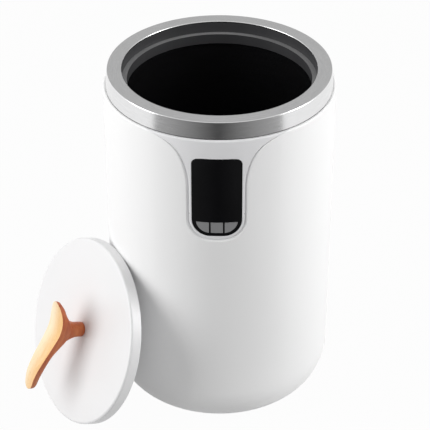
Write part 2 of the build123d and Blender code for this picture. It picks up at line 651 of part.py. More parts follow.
def base_screws():
    """Screws through the base into the housing's bosses."""
    seat = FOOT_HEIGHT + SCREW_HEAD_HEIGHT
    length = BASE_WALL - SCREW_HEAD_HEIGHT + BASE_LEDGE_THICKNESS + 6.0
    return Compound([
        screw_up(x, y, seat, length, SCREW_RADIUS, SCREW_HEAD_RADIUS, SCREW_HEAD_HEIGHT * 0.9)
        for x, y in BASE_SCREWS
    ])


def liner_stand():
    """Windowed ring that carries the liner on the base."""
    inner, outer = STAND_WALL_RADIUS, STAND_WALL_RADIUS + STAND_WALL
    flange_in = outer - STAND_FLANGE_WIDTH
    low_top = BASE_TOP_Z + STAND_FLANGE_THICKNESS
    high_low = LINER_FLOOR_HEIGHT - STAND_FLANGE_THICKNESS
    stand = turned([
        (flange_in, BASE_TOP_Z), (outer, BASE_TOP_Z), (outer, LINER_FLOOR_HEIGHT),
        (flange_in, LINER_FLOOR_HEIGHT), (flange_in, high_low), (inner, high_low), (inner, low_top),
        (flange_in, low_top),
    ])
    sill, head = low_top + STAND_WINDOW_SILL, high_low - STAND_WINDOW_SILL
    half = STAND_WINDOW_WIDTH / 2
    opening = block(-half, half, -outer - 1, -flange_in + 1, sill, head)
    for k in range(STAND_WINDOW_COUNT):
        stand -= Rot(0, 0, 360.0 * k / STAND_WINDOW_COUNT) * opening
    return stand


def on_power_board(x, y, size):
    """Component block standing on the mains board."""
    length, width, height = size
    return block(x - length / 2, x + length / 2, y - width / 2, y + width / 2,
                 POWER_BOARD_TOP_Z, POWER_BOARD_TOP_Z + height)


def power_board():
    """Mains board with its relay, transformer, capacitor and heater plug."""
    half_x, half_y = POWER_BOARD_LENGTH / 2, POWER_BOARD_WIDTH / 2
    board = block(-half_x, half_x, -half_y, half_y, POWER_BOARD_Z, POWER_BOARD_TOP_Z)
    board += on_power_board(-half_x * 0.4, -half_y * 0.1, RELAY_SIZE)
    board += on_power_board(half_x * 0.2, half_y * 0.2, TRANSFORMER_SIZE)
    board += on_power_board(half_x - HEATER_PLUG_SIZE[0] / 2, 0, HEATER_PLUG_SIZE)
    board += disc(CAPACITOR_RADIUS, POWER_BOARD_TOP_Z, POWER_BOARD_TOP_Z + CAPACITOR_HEIGHT,
                  -half_x * 0.4, half_y * 0.6)
    return board


def terminal_block():
    """Screw terminals along the front edge of the mains board."""
    middle_y = TERMINAL_FRONT_Y + TERMINAL_DEPTH / 2
    blocks = on_power_board(0, middle_y, (TERMINAL_LENGTH, TERMINAL_DEPTH, TERMINAL_HEIGHT))
    top = POWER_BOARD_TOP_Z + TERMINAL_HEIGHT
    pitch = TERMINAL_LENGTH / TERMINAL_WAYS
    for k in range(TERMINAL_WAYS):
        x = (k - (TERMINAL_WAYS - 1) / 2) * pitch
        blocks -= disc(TERMINAL_HOLE_RADIUS, top - TERMINAL_HEIGHT / 3, top + 1, x, middle_y)
    return blocks


def thermal_cutout():
    """Disc thermostat against the underside of the liner."""
    low, seat = LINER_FLOOR_HEIGHT - CUTOUT_HEIGHT, LINER_FLOOR_HEIGHT - CUTOUT_CAP_HEIGHT
    body = disc(CUTOUT_RADIUS, low, seat, -SENSOR_CIRCLE_RADIUS)
    return body + disc(CUTOUT_CAP_RADIUS, seat, LINER_FLOOR_HEIGHT, -SENSOR_CIRCLE_RADIUS)


def thermal_fuse():
    """Axial fuse lying in its clip under the liner."""
    lying = Pos(0, FUSE_Y, FUSE_AXIS_Z) * Rot(0, 90, 0)
    return lying * (Cylinder(FUSE_RADIUS, FUSE_LENGTH) + Cylinder(FUSE_LEAD_RADIUS, FUSE_LEAD_SPAN))


def fuse_clip():
    """Omega-shaped strap that holds the fuse to the liner."""
    half = FUSE_CLIP_LENGTH / 2
    inside = FUSE_RADIUS + FIT
    outside = inside + FUSE_CLIP_WALL
    foot = LINER_FLOOR_HEIGHT - FUSE_CLIP_WALL
    bridge = block(-half, half, FUSE_Y - outside, FUSE_Y + outside, FUSE_AXIS_Z - outside, LINER_FLOOR_HEIGHT)
    ears = block(-half, half, FUSE_Y - outside - FUSE_CLIP_EAR, FUSE_Y + outside + FUSE_CLIP_EAR,
                 foot, LINER_FLOOR_HEIGHT)
    channel = block(-half, half, FUSE_Y - inside, FUSE_Y + inside, FUSE_AXIS_Z - inside, LINER_FLOOR_HEIGHT)
    return bridge + ears - channel


def ntc_sensor():
    """Temperature probe against the underside of the liner."""
    return disc(NTC_RADIUS, LINER_FLOOR_HEIGHT - NTC_HEIGHT, LINER_FLOOR_HEIGHT, SENSOR_CIRCLE_RADIUS)


def lead(points, bend):
    """Round lead along straight runs joined by arcs."""
    path = FilletPolyline(*points, radius=bend)
    start = Vector(*points[1]) - Vector(*points[0])
    profile = Plane(origin=points[0], z_dir=start) * Circle(LEAD_RADIUS)
    return sweep(profile, path)


def control_cable():
    """Cable from the mains board up behind the wall to the control board."""
    board_y = (BOARD_FRONT_Y + BOARD_BACK_Y) / 2
    low = POWER_BOARD_TOP_Z + LEAD_RISE
    turn_y = -BASE_RADIUS - LEAD_RISE
    turn_z = HEATER_LOW_Z
    return lead([(0, TERMINAL_FRONT_Y, low), (0, turn_y, low), (0, board_y, turn_z),
                 (0, board_y, BOARD_LOW_Z)], LEAD_BEND)


def heater_leads():
    """Pair of leads from the mains board to the heater's lower edge."""
    low = POWER_BOARD_TOP_Z + LEAD_RISE
    reach = liner_radius(HEATER_LOW_Z) + FIT + LEAD_RADIUS
    return lead([(POWER_BOARD_LENGTH / 2, 0, low), (BASE_RADIUS, 0, low),
                 (reach, 0, LINER_FLOOR_HEIGHT - LEAD_RISE), (reach, 0, HEATER_LOW_Z)], LEAD_BEND)


def cord_gland():
    """Rubber bush in the back wall where the mains cord enters."""
    wall = shell_radius(GLAND_Z)
    inside = wall - SHELL_WALL - GLAND_TAIL
    gland = rod_y(GLAND_NECK_RADIUS, 0, GLAND_Z, inside, wall + GLAND_FLANGE_THICKNESS)
    gland += rod_y(GLAND_FLANGE_RADIUS, 0, GLAND_Z, wall + FIT, wall + GLAND_FLANGE_THICKNESS)
    return gland - rod_y(GLAND_BORE_RADIUS, 0, GLAND_Z, inside - 1, wall + GLAND_FLANGE_THICKNESS + 1)


# ---------------------------------------------------------------- lid
def lid_cover():
    """White top of the lid, with screw bosses and a boss for the handle bolt."""
    inner = LID_RADIUS - LID_WALL
    face = make_face(Polyline(
        (0, 0), (LID_RADIUS, 0), (LID_RADIUS, LID_BACK_Z), (inner, LID_BACK_Z), (inner, -LID_WALL),
        (0, -LID_WALL), close=True))
    face = fillet([v for v in face.vertices() if v.X > inner + 1 and v.Y > -1], LID_FACE_ROUND)
    face = fillet([v for v in face.vertices() if v.X > inner + 1 and v.Y < LID_BACK_Z + 0.1], LID_RIM_ROUND)
    cover = revolve(Plane.XZ * face, Axis.Z)
    boss_low = -LID_WALL - HANDLE_BOSS_HEIGHT
    cover += disc(HANDLE_BOSS_RADIUS, boss_low, -LID_WALL + 0.5)
    for x, y in LID_SCREWS:
        cover += disc(SCREW_RADIUS * 2.2, LID_PLATE_TOP_Z, -LID_WALL + 0.5, x, y)
    for x, y in LID_SCREWS:
        cover -= disc(SCREW_RADIUS + PILOT_FIT, LID_PLATE_TOP_Z - 1, -LID_WALL - 1, x, y)
    return cover - disc(HANDLE_BOLT_RADIUS + FIT, boss_low - 1, 1)


def lid_plate():
    """Underside of the lid: a shallow plug, a rebate for the gasket and the screw holes."""
    plug_low = LID_BACK_Z - LID_PLUG_DEPTH
    wall = LID_PLATE_WALL
    face = make_face(Polyline(
        (0, plug_low), (LID_PLUG_RADIUS, plug_low), (LID_PLUG_RADIUS, LID_BACK_Z),
        (GASKET_INNER_RADIUS - FIT, LID_BACK_Z), (GASKET_INNER_RADIUS - FIT, GASKET_SEAT_Z),
        (GASKET_OUTER_RADIUS, GASKET_SEAT_Z), (GASKET_OUTER_RADIUS, LID_PLATE_TOP_Z),
        (LID_PLUG_RADIUS - wall, LID_PLATE_TOP_Z), (LID_PLUG_RADIUS - wall, plug_low + wall),
        (0, plug_low + wall), close=True))
    rounds = [v for v in face.vertices() if abs(v.X - LID_PLUG_RADIUS) < 0.1 and v.Y < plug_low + 0.1]
    face = fillet(rounds, LID_PLUG_ROUND)
    plate = revolve(Plane.XZ * face, Axis.Z)
    for x, y in LID_SCREWS:
        plate -= disc(SCREW_RADIUS + HOLE_FIT, LID_BACK_Z - 1, LID_PLATE_TOP_Z + 1, x, y)
        plate -= disc(SCREW_HEAD_RADIUS + HOLE_FIT, LID_BACK_Z - 1, LID_BACK_Z + SCREW_HEAD_HEIGHT, x, y)
    return plate


def lid_gasket():
    """Silicone ring that closes on the ledge."""
    return tube(GASKET_OUTER_RADIUS, GASKET_INNER_RADIUS, LID_BACK_Z - GASKET_PROUD, GASKET_SEAT_Z)


def lid_insulation():
    """Foam disc between cover and plate, cut out round the handle's boss."""
    radius = LID_PLUG_RADIUS - LID_PLATE_WALL - FIT
    low = LID_BACK_Z - LID_PLUG_DEPTH + LID_PLATE_WALL + FIT
    return tube(radius, HANDLE_BOSS_RADIUS + 3.0, low, -LID_WALL - FIT)


def lid_screws():
    """Screws through the plate into the cover's bosses."""
    seat = LID_BACK_Z + SCREW_HEAD_HEIGHT
    length = LID_PLATE_TOP_Z - seat + 7.0
    return Compound([
        screw_up(x, y, seat, length, SCREW_RADIUS, SCREW_HEAD_RADIUS, SCREW_HEAD_HEIGHT * 0.9)
        for x, y in LID_SCREWS
    ])


def handle_top(y):
    """Height of the handle's top face above the lid, bent at the stem."""
    arm = HANDLE_UP_ARM if y > 0 else HANDLE_DOWN_ARM
    rise = (HANDLE_TIP_HEIGHT - HANDLE_BEND_HEIGHT) / arm
    soften = 9.0
    return HANDLE_BEND_HEIGHT + rise * (sqrt(y * y + soften * soften) - soften)


def handle_section(y, width, thickness):
    """Cross-section of the grip: flat top, sides drawn in towards the underside."""
    half, low_half = width / 2, width * 0.36
    top = handle_top(y) - (HANDLE_THICKNESS - thickness) / 2
    face = make_face(Polyline(
        (-low_half, top - thickness), (low_half, top - thickness), (half, top - thickness * 0.3),
        (half * 0.86, top), (-half * 0.86, top), (-half, top - thickness * 0.3), close=True))
    face = fillet(face.vertices(), min(thickness, width) * 0.16)
    return Plane(origin=(0, y, 0), x_dir=(1, 0, 0), z_dir=(0, -1, 0)) * face


def handle_grip():
    """Bent wooden bar, widest in the middle and rounded at both tips."""
    tips = ((0.0, 0.34, 0.45), (1.6, 0.62, 0.72), (5.0, 0.86, 0.92), (11.0, 1.0, 1.0))
    stations = [(-HANDLE_DOWN_ARM + inset, wide, thick) for inset, wide, thick in tips]
    stations += [(y, 1.0, 1.0) for y in (-HANDLE_DOWN_ARM * 0.5, -14.0, 0.0, 12.0)]
    stations += [(HANDLE_UP_ARM - inset, wide, thick) for inset, wide, thick in reversed(tips)]
    return loft([handle_section(y, HANDLE_WIDTH * w, HANDLE_THICKNESS * t) for y, w, t in stations])


def lid_handle():
    """Handle: grip, and a round stem that spreads along the grip's underside."""
    top = HANDLE_BEND_HEIGHT - HANDLE_THICKNESS * 0.55
    spread = top - STEM_STRAIGHT
    stages = (
        (0.0, STEM_RADIUS, -STEM_RADIUS, STEM_RADIUS),
        (STEM_STRAIGHT, STEM_RADIUS, -STEM_RADIUS, STEM_RADIUS),
        (STEM_STRAIGHT + spread * 0.4, STEM_RADIUS, -STEM_RADIUS - 5.5, STEM_RADIUS + 10.0),
        (STEM_STRAIGHT + spread * 0.75, STEM_RADIUS, -STEM_RADIUS - 18.0, STEM_RADIUS + 18.5),
        (top, STEM_RADIUS, -STEM_RADIUS - 38.0, STEM_RADIUS + 25.0),
    )
    sections = []
    for z, half, low, high in stages:
        sections.append(Plane.XY.offset(z) * Pos(0, (low + high) / 2) * Ellipse(half, (high - low) / 2))
    handle = handle_grip() + loft(sections)
    return handle - disc(HANDLE_BOLT_RADIUS + PILOT_FIT, -1, HANDLE_BOLT_DEPTH)


def handle_washer():
    """Washer under the handle bolt's head."""
    seat = -LID_WALL - HANDLE_BOSS_HEIGHT
    return tube(WASHER_RADIUS, HANDLE_BOLT_RADIUS + FIT, seat - WASHER_THICKNESS, seat)


def handle_bolt():
    """Bolt from inside the lid up into the stem."""
    seat = -LID_WALL - HANDLE_BOSS_HEIGHT - WASHER_THICKNESS
    length = HANDLE_BOLT_DEPTH - seat - 2.0
    return screw_up(0, 0, seat, length, HANDLE_BOLT_RADIUS, HANDLE_BOLT_RADIUS * 1.8, HANDLE_BOLT_RADIUS * 1.3)


def lid_plane():
    """Where the leaning lid lies: its low edge at the floor, its back against the housing."""
    lean, azimuth = radians(LID_LEAN), radians(LID_AZIMUTH)
    ahead = (cos(azimuth), sin(azimuth))
    # (radius, depth, rounding) of the edges that can touch
    edges = (
        (LID_RADIUS - LID_RIM_ROUND, LID_THICKNESS - LID_RIM_ROUND, LID_RIM_ROUND),
        (GASKET_OUTER_RADIUS, LID_THICKNESS + GASKET_PROUD, 0.0),
        (LID_PLUG_RADIUS - LID_PLUG_ROUND, LID_THICKNESS + LID_PLUG_DEPTH - LID_PLUG_ROUND, LID_PLUG_ROUND),
    )
    height = SEAT_GAP + max(r * cos(lean) + depth * sin(lean) + soft for r, depth, soft in edges)
    distance = 0.0
    steps = 720
    for r, depth, soft in edges:
        for k in range(steps):
            turn = 2 * pi * k / steps
            up, side = r * cos(turn), r * sin(turn)
            z = height + up * cos(lean) - depth * sin(lean)
            back = -up * sin(lean) - depth * cos(lean)
            reach = shell_radius(z) + SEAT_GAP + soft
            distance = max(distance, sqrt(reach ** 2 - (LID_SIDE_SHIFT + side) ** 2) - back)
    centre = (
        ahead[0] * distance - ahead[1] * LID_SIDE_SHIFT,
        ahead[1] * distance + ahead[0] * LID_SIDE_SHIFT,
        height,
    )
    normal = (ahead[0] * cos(lean), ahead[1] * cos(lean), sin(lean))
    return Plane(origin=centre, x_dir=(-ahead[1], ahead[0], 0), z_dir=normal)


# ---------------------------------------------------------------- assembly
def build():
    """Every sub-part in its resting place."""
    whole = full_shell()
    nodes = {
        "outer_shell": outer_shell(whole),
        "control_panel": control_panel(whole),
        "display_window": display_window(),
        "display_module": display_module(),
        "control_board": control_board(),
        "board_cover": board_cover(),
        "tact_switches": tact_switches(),
        "panel_screws": panel_screws(),
        "rim_ring": rim_ring(),
        "inner_collar": inner_collar(),
        "rim_screws": rim_screws(),
        "inner_liner": inner_liner(),
        "heating_element": heating_element(),
        "insulation_blanket": insulation_blanket(),
        "base_pan": base_pan(),
        "foot_ring": foot_ring(),
        "base_screws": base_screws(),
        "liner_stand": liner_stand(),
        "power_board": power_board(),
        "terminal_block": terminal_block(),
        "thermal_cutout": thermal_cutout(),
        "thermal_fuse": thermal_fuse(),
        "fuse_clip": fuse_clip(),
        "ntc_sensor": ntc_sensor(),
        "control_cable": control_cable(),
        "heater_leads": heater_leads(),
        "cord_gland": cord_gland(),
    }
    for name in BUTTONS:
        nodes[f"button_{name}"] = button(name)
    lid = lid_plane().location
    for name, piece in (
        ("lid_cover", lid_cover()),
        ("lid_plate", lid_plate()),
        ("lid_gasket", lid_gasket()),
        ("lid_insulation", lid_insulation()),
        ("lid_screws", lid_screws()),
        ("lid_handle", lid_handle()),
        ("handle_washer", handle_washer()),
        ("handle_bolt", handle_bolt()),
    ):
        nodes[name] = lid * piece
    return nodes


os.makedirs("parts", exist_ok=True)
for node_name, node in build().items():
    export_step(node, f"parts/{node_name}.step")
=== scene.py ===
"""Looks of the towel warmer bucket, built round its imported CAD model.  Metres, +Z up."""

import json
from math import asin, cos, pi, radians, sin, sqrt

import bmesh
import bpy
from mathutils import Matrix, Vector


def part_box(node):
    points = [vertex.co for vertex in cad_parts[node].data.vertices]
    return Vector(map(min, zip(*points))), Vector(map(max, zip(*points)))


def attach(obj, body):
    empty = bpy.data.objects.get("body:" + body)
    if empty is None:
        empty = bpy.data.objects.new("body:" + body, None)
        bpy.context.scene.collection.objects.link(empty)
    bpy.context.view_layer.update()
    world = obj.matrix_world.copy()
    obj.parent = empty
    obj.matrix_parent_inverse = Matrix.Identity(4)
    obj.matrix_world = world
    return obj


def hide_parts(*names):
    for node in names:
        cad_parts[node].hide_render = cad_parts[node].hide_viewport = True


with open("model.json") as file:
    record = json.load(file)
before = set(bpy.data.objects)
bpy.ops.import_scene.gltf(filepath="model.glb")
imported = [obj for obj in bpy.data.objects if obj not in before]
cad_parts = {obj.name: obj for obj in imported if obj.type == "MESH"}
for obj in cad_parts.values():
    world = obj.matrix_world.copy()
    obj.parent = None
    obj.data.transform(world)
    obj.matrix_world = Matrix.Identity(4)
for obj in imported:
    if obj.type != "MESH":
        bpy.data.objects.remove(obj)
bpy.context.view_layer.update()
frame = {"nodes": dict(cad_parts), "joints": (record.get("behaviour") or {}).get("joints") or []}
nodes = frame["nodes"]

# ---------------------------------------------------------------- driving values
# Camera
CAMERA_DISTANCE = 2.348          # from the bucket's axis, level
CAMERA_HEIGHT = 1.779
CAMERA_AZIMUTH = radians(1.3)    # towards +X from straight ahead
CAMERA_PITCH = 0.5722            # below level
CAMERA_FOCAL = 163.4             # mm, as is the sensor
CAMERA_SHIFT = -0.0105
SENSOR_WIDTH = 36.0
# Light
WORLD_LIGHT = 0.54               # strength on the object; what is seen stays white
FLOOR_WHITE_SHARE = 0.97         # the rest of the floor takes the shadow
FLOOR_GREY = 0.4                 # of that rest
FLOOR_HALF_SIDE = 6.0
FLOOR_Z = -0.0002
CARD_RADIUS = 0.95               # curved card in front, seen in the ring's side
CARD_NEAR_RADIUS = 0.3           # it also lies on the floor from here, seen in the window
CARD_HALF_ANGLE = radians(60)
CARD_LOW_Z, CARD_HIGH_Z = 0.003, 2.6
CARD_STEPS = 24
CARD_MIDDLE_GREY, CARD_EDGE_GREY = 0.06, 0.42
BACK_CARD_HALF_WIDTH = 2.5
BACK_CARD_Y = 2.2
BACK_CARD_LOW_Z, BACK_CARD_HIGH_Z = 0.7, 3.1
BACK_CARD_GREY = 0.5
BOX_TARGET = (0, 0, 0.25)        # both soft boxes face this point
LEFT_BOX_PLACE = (-2.08, -0.66, 1.0)
LEFT_BOX_SIZE = (1.6, 2.2)
LEFT_BOX_POWER = 35.0
RIGHT_BOX_PLACE = (2.17, -0.33, 1.0)
RIGHT_BOX_SIZE = (0.8, 2.2)
RIGHT_BOX_POWER = 34.0

# Housing, as in the CAD model; the tongue's flare is fuller here
shell_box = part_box("outer_shell")
SHELL_LOW_Z, DECK_Z = shell_box[0].z, shell_box[1].z
SHELL_TOP_RADIUS = min(shell_box[1].x, shell_box[1].y)
SHELL_TAPER = 0.003
SHELL_FOOT_RADIUS = SHELL_TOP_RADIUS - SHELL_TAPER
SHELL_WALL = 0.0025
FOOT_WALL_SHARE = 0.8            # of the wall, kept round the foot
SHELL_FOOT_RISE = 0.064          # the side starts to round in this far above its foot
SHELL_LIP_ROUND = 0.0025
BASE_OPENING = 0.1122            # radius of the shell's edge round the base
ROUND_SEGMENTS = 512
WELD_DISTANCE = 1e-7
FOOT_STEPS, FOOT_INSIDE_STRIDE = 40, 4
LIP_STEPS = 10
HOUSING_CREASE = radians(16)     # edges sharper than this stay crisp
GLAND_HOLE = 0.0068
GLAND_SEGMENTS = 64
GLAND_Z = (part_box("cord_gland")[0].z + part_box("cord_gland")[1].z) / 2
BACK_HOLE_Y = 0.12
TONGUE_HALF_WIDTH = 0.0392
TONGUE_LOW_Z = 0.328
TONGUE_CORNER_RADIUS = 0.032
TONGUE_FLARE_HEIGHT = 0.0763     # each side flares out along a quarter of an ellipse
TONGUE_FLARE_SPREAD = 0.0467
TONGUE_FLARE_TAIL = 0.018        # and runs out further just under the ring
TONGUE_TAIL_POWER = 10           # the higher, the later the tail starts
TONGUE_FLARE_Z = DECK_Z + 0.0008 - TONGUE_FLARE_HEIGHT
TONGUE_FLARE_SWEEP = asin(0.995)
TONGUE_CORNER_STEPS, FLARE_STEPS = 24, 48
PANEL_SEAM = 0.0024
PANEL_HALF_ANGLE = radians(50)
PANEL_BELOW_TONGUE = 0.01        # by which its blank is longer than the tongue
PANEL_LAP = 0.004                # half the width of the flange behind the seam
LAP_DEPTH, LAP_THICKNESS = 0.0027, 0.0015
SEAM_SHELL_ROUND = 0.0028        # rounded edges on both sides of the seam
SEAM_PANEL_ROUND = 0.001
BEZEL_ROUND = 0.0008
WINDOW_HALF_WIDTH = 0.0335
WINDOW_LOW_Z, WINDOW_HIGH_Z = 0.3353, 0.455
WINDOW_LOW_CORNER, WINDOW_HIGH_CORNER = 0.024, 0.0085
WINDOW_CORNER_STEPS = 14
WINDOW_GAP = 0.0003
EDGE_LEAD = 0.0004               # by which a cutting shape stands proud of the surface
EDGE_START = radians(20)         # where its rounded edge leaves the surface
EDGE_STEPS = 7
ABOVE_DECK = 0.02
FRONT_PLANE_Y, BACK_PLANE_Y = -0.2, -0.1

# Handle, in mm on the lid: points of smooth curves (up the slope, value)
GRIP_WIDTH = (
    (-94.5, 0), (-93, 9), (-88, 18), (-75, 22.5), (-48, 28), (-18, 32),
    (4, 35.5), (20, 37.5), (30, 34), (39, 25), (45, 12), (47, 0),
)
GRIP_TOP = (
    (-110, 60), (-88, 61.5), (-72, 62.5), (-54, 59.8), (-30, 53.4),
    (-12, 48.4), (4, 45.6), (20, 47), (36, 50.7), (60, 59),
)
GRIP_DEPTH = (
    (-95, 6), (-88, 10), (-70, 13), (-50, 13.5), (-36, 14), (-22, 18),
    (-10, 22), (8, 22), (18, 19), (30, 12), (40, 9), (47, 5),
)
GRIP_LEAST_HALF_WIDTH = 0.3
GRIP_EXTRA = 3.0                 # height above the top face, which the top tool then takes off
GRIP_SQUARENESS = 0.5            # 1 is an ellipse, 0 a box
GRIP_CROWN = 1.2                 # drop of the top face from its middle to CROWN_HALF_WIDTH
CROWN_HALF_WIDTH = 19.0
GRIP_STEPS, GRIP_ROUND_STEPS = 72, 24
GRIP_VOXEL = 0.0008              # metres
GRIP_SMOOTHING = 14
GRIP_SMOOTHING_FACTOR = 0.5
GRIP_CREASE = radians(48)
TOP_TOOL_START, TOP_TOOL_LENGTH, TOP_TOOL_STEPS = -110, 170, 64
TOP_TOOL_HALF_WIDTH, TOP_TOOL_STRIDE = 32, 4
TOP_TOOL_HEIGHT = 100
STEM_RADIUS = 10.8
STEM_SHIFT = 2.5
STEM_TOP = 38.0
STEM_STEPS, STEM_SEGMENTS = 24, 48
STEM_UP = ((-1, 10.8), (8, 10.8), (16, 11), (24, 14), (32, 20), (38, 24))
STEM_DOWN = ((-1, 10.8), (8, 10.8), (13.8, 12.5), (20, 17), (27, 22), (33, 28), (38, 33))
LID_BACK_DEPTH = 0.0161          # gasket's middle behind the lid's face

MM_PER_METRE = 1000

PLASTIC_TINT = 0.02              # how much darker the dull patches of a moulding are

# The lid's own frame: out of its face, level along its edge, up its slope
pull_axis = next(joint["axis"] for joint in frame["joints"] if joint["name"] == "lid_pull")
lid_out = Vector(pull_axis).normalized()
lid_level = Vector((0, 0, 1)).cross(lid_out).normalized()
lid_up = lid_out.cross(lid_level)


def middle(node):
    """Middle of a CAD node's box."""
    low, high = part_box(node)
    return (low + high) / 2


lid_middle = middle("lid_gasket")
lid_face = lid_middle + LID_BACK_DEPTH * lid_out


# ---------------------------------------------------------------- camera, floor and light
def add_camera():
    """Camera at the photograph's viewing angle."""
    data = bpy.data.cameras.new("camera")
    data.lens = CAMERA_FOCAL
    data.sensor_width = SENSOR_WIDTH
    data.shift_x = CAMERA_SHIFT
    camera = bpy.data.objects.new("camera", data)
    bpy.context.scene.collection.objects.link(camera)
    camera.location = (
        CAMERA_DISTANCE * sin(CAMERA_AZIMUTH),
        -CAMERA_DISTANCE * cos(CAMERA_AZIMUTH),
        CAMERA_HEIGHT,
    )
    camera.rotation_euler = (pi / 2 - CAMERA_PITCH, 0, CAMERA_AZIMUTH)
    bpy.context.scene.camera = camera
    bpy.context.scene.view_settings.view_transform = "Standard"


def area_light(name, place, size, power):
    """Rectangular soft box that faces the bucket."""
    data = bpy.data.lights.new(name, "AREA")
    data.shape = "RECTANGLE"
    data.size, data.size_y = size
    data.energy = power
    data.spread = pi
    lamp = bpy.data.objects.new(name, data)
    bpy.context.scene.collection.objects.link(lamp)
    lamp.location = place
    aim = Vector(BOX_TARGET) - Vector(place)
    lamp.rotation_euler = aim.to_track_quat("-Z", "Y").to_euler()


def backdrop_share(tree):
    """1 where the ray comes from the camera, a reflection or a transmission, else 0."""
    path = tree.nodes.new("ShaderNodeLightPath")
    first = tree.nodes.new("ShaderNodeMath")
    first.operation = "MAXIMUM"
    second = tree.nodes.new("ShaderNodeMath")
    second.operation = "MAXIMUM"
    tree.links.new(path.outputs["Is Camera Ray"], first.inputs[0])
    tree.links.new(path.outputs["Is Glossy Ray"], first.inputs[1])
    tree.links.new(first.outputs[0], second.inputs[0])
    tree.links.new(path.outputs["Is Transmission Ray"], second.inputs[1])
    return second.outputs[0]


def add_world():
    """White to look at, a plain grey as a light."""
    world = bpy.data.worlds.new("studio")
    bpy.context.scene.world = world
    world.use_nodes = True
    tree = world.node_tree
    tree.nodes.clear()
    seen = tree.nodes.new("ShaderNodeBackground")
    seen.inputs["Color"].default_value = (1, 1, 1, 1)
    seen.inputs["Strength"].default_value = 1.0
    light = tree.nodes.new("ShaderNodeBackground")
    light.inputs["Color"].default_value = (1, 1, 1, 1)
    light.inputs["Strength"].default_value = WORLD_LIGHT
    mix = tree.nodes.new("ShaderNodeMixShader")
    out = tree.nodes.new("ShaderNodeOutputWorld")
    tree.links.new(backdrop_share(tree), mix.inputs[0])
    tree.links.new(light.outputs[0], mix.inputs[1])
    tree.links.new(seen.outputs[0], mix.inputs[2])
    tree.links.new(mix.outputs[0], out.inputs["Surface"])


def add_floor():
    """White floor that keeps a trace of the object's shadow."""
    mesh = bpy.data.meshes.new("floor")
    half = FLOOR_HALF_SIDE
    corners = [(x * half, y * half, FLOOR_Z) for x, y in ((-1, -1), (1, -1), (1, 1), (-1, 1))]
    mesh.from_pydata(corners, [], [(0, 1, 2, 3)])
    floor = bpy.data.objects.new("floor", mesh)
    bpy.context.scene.collection.objects.link(floor)
    material = bpy.data.materials.new("floor_white")
    material.use_nodes = True
    tree = material.node_tree
    tree.nodes.clear()
    matt = tree.nodes.new("ShaderNodeBsdfDiffuse")
    matt.inputs["Color"].default_value = (FLOOR_GREY, FLOOR_GREY, FLOOR_GREY, 1)
    white = tree.nodes.new("ShaderNodeEmission")
    white.inputs["Strength"].default_value = 1.0
    share = tree.nodes.new("ShaderNodeMath")
    share.operation = "MULTIPLY"
    share.inputs[1].default_value = FLOOR_WHITE_SHARE
    mix = tree.nodes.new("ShaderNodeMixShader")
    out = tree.nodes.new("ShaderNodeOutputMaterial")
    tree.links.new(backdrop_share(tree), share.inputs[0])
    tree.links.new(share.outputs[0], mix.inputs[0])
    tree.links.new(matt.outputs[0], mix.inputs[1])
    tree.links.new(white.outputs[0], mix.inputs[2])
    tree.links.new(mix.outputs[0], out.inputs["Surface"])
    mesh.materials.append(material)


def card(name, rows, middle_grey, edge_grey):
    """Card through equal rows of points, seen by reflections only and shaded from middle to sides."""
    mesh = bpy.data.meshes.new(name)
    count = len(rows[0])
    points = [point for row in rows for point in row]
    faces = [
        (k * count + i, k * count + i + 1, (k + 1) * count + i + 1, (k + 1) * count + i)
        for k in range(len(rows) - 1) for i in range(count - 1)
    ]
    mesh.from_pydata(points, [], faces)
    board = bpy.data.objects.new(name, mesh)
    bpy.context.scene.collection.objects.link(board)
    board.visible_camera = False
    board.visible_diffuse = False
    board.visible_shadow = False
    material = bpy.data.materials.new(name)
    material.use_nodes = True
    tree = material.node_tree
    tree.nodes.clear()
    glow = tree.nodes.new("ShaderNodeEmission")
    across = tree.nodes.new("ShaderNodeTexCoord")
    split = tree.nodes.new("ShaderNodeSeparateXYZ")
    off_middle = tree.nodes.new("ShaderNodeMath")
    off_middle.operation = "ABSOLUTE"
    shade = tree.nodes.new("ShaderNodeMapRange")
    shade.inputs["From Max"].default_value = rows[-1][-1][0]
    shade.inputs["To Min"].default_value = middle_grey
    shade.inputs["To Max"].default_value = edge_grey
    out = tree.nodes.new("ShaderNodeOutputMaterial")
    tree.links.new(across.outputs["Object"], split.inputs[0])
    tree.links.new(split.outputs[0], off_middle.inputs[0])
    tree.links.new(off_middle.outputs[0], shade.inputs["Value"])
    tree.links.new(shade.outputs["Result"], glow.inputs["Color"])
    tree.links.new(glow.outputs[0], out.inputs["Surface"])
    mesh.materials.append(material)


def add_cards():
    """What the ring and the window reflect: a dark card in front and a grey one behind."""
    angles = arc(CARD_STEPS, -CARD_HALF_ANGLE, CARD_HALF_ANGLE)
    levels = ((CARD_NEAR_RADIUS, CARD_LOW_Z), (CARD_RADIUS, CARD_LOW_Z), (CARD_RADIUS, CARD_HIGH_Z))
    front = [[(radius * sin(t), -radius * cos(t), z) for t in angles] for radius, z in levels]
    card("front_card", front, CARD_MIDDLE_GREY, CARD_EDGE_GREY)
    half = BACK_CARD_HALF_WIDTH
    back = [[(-half, BACK_CARD_Y, z), (half, BACK_CARD_Y, z)] for z in (BACK_CARD_LOW_Z, BACK_CARD_HIGH_Z)]
    card("back_card", back, BACK_CARD_GREY, BACK_CARD_GREY)


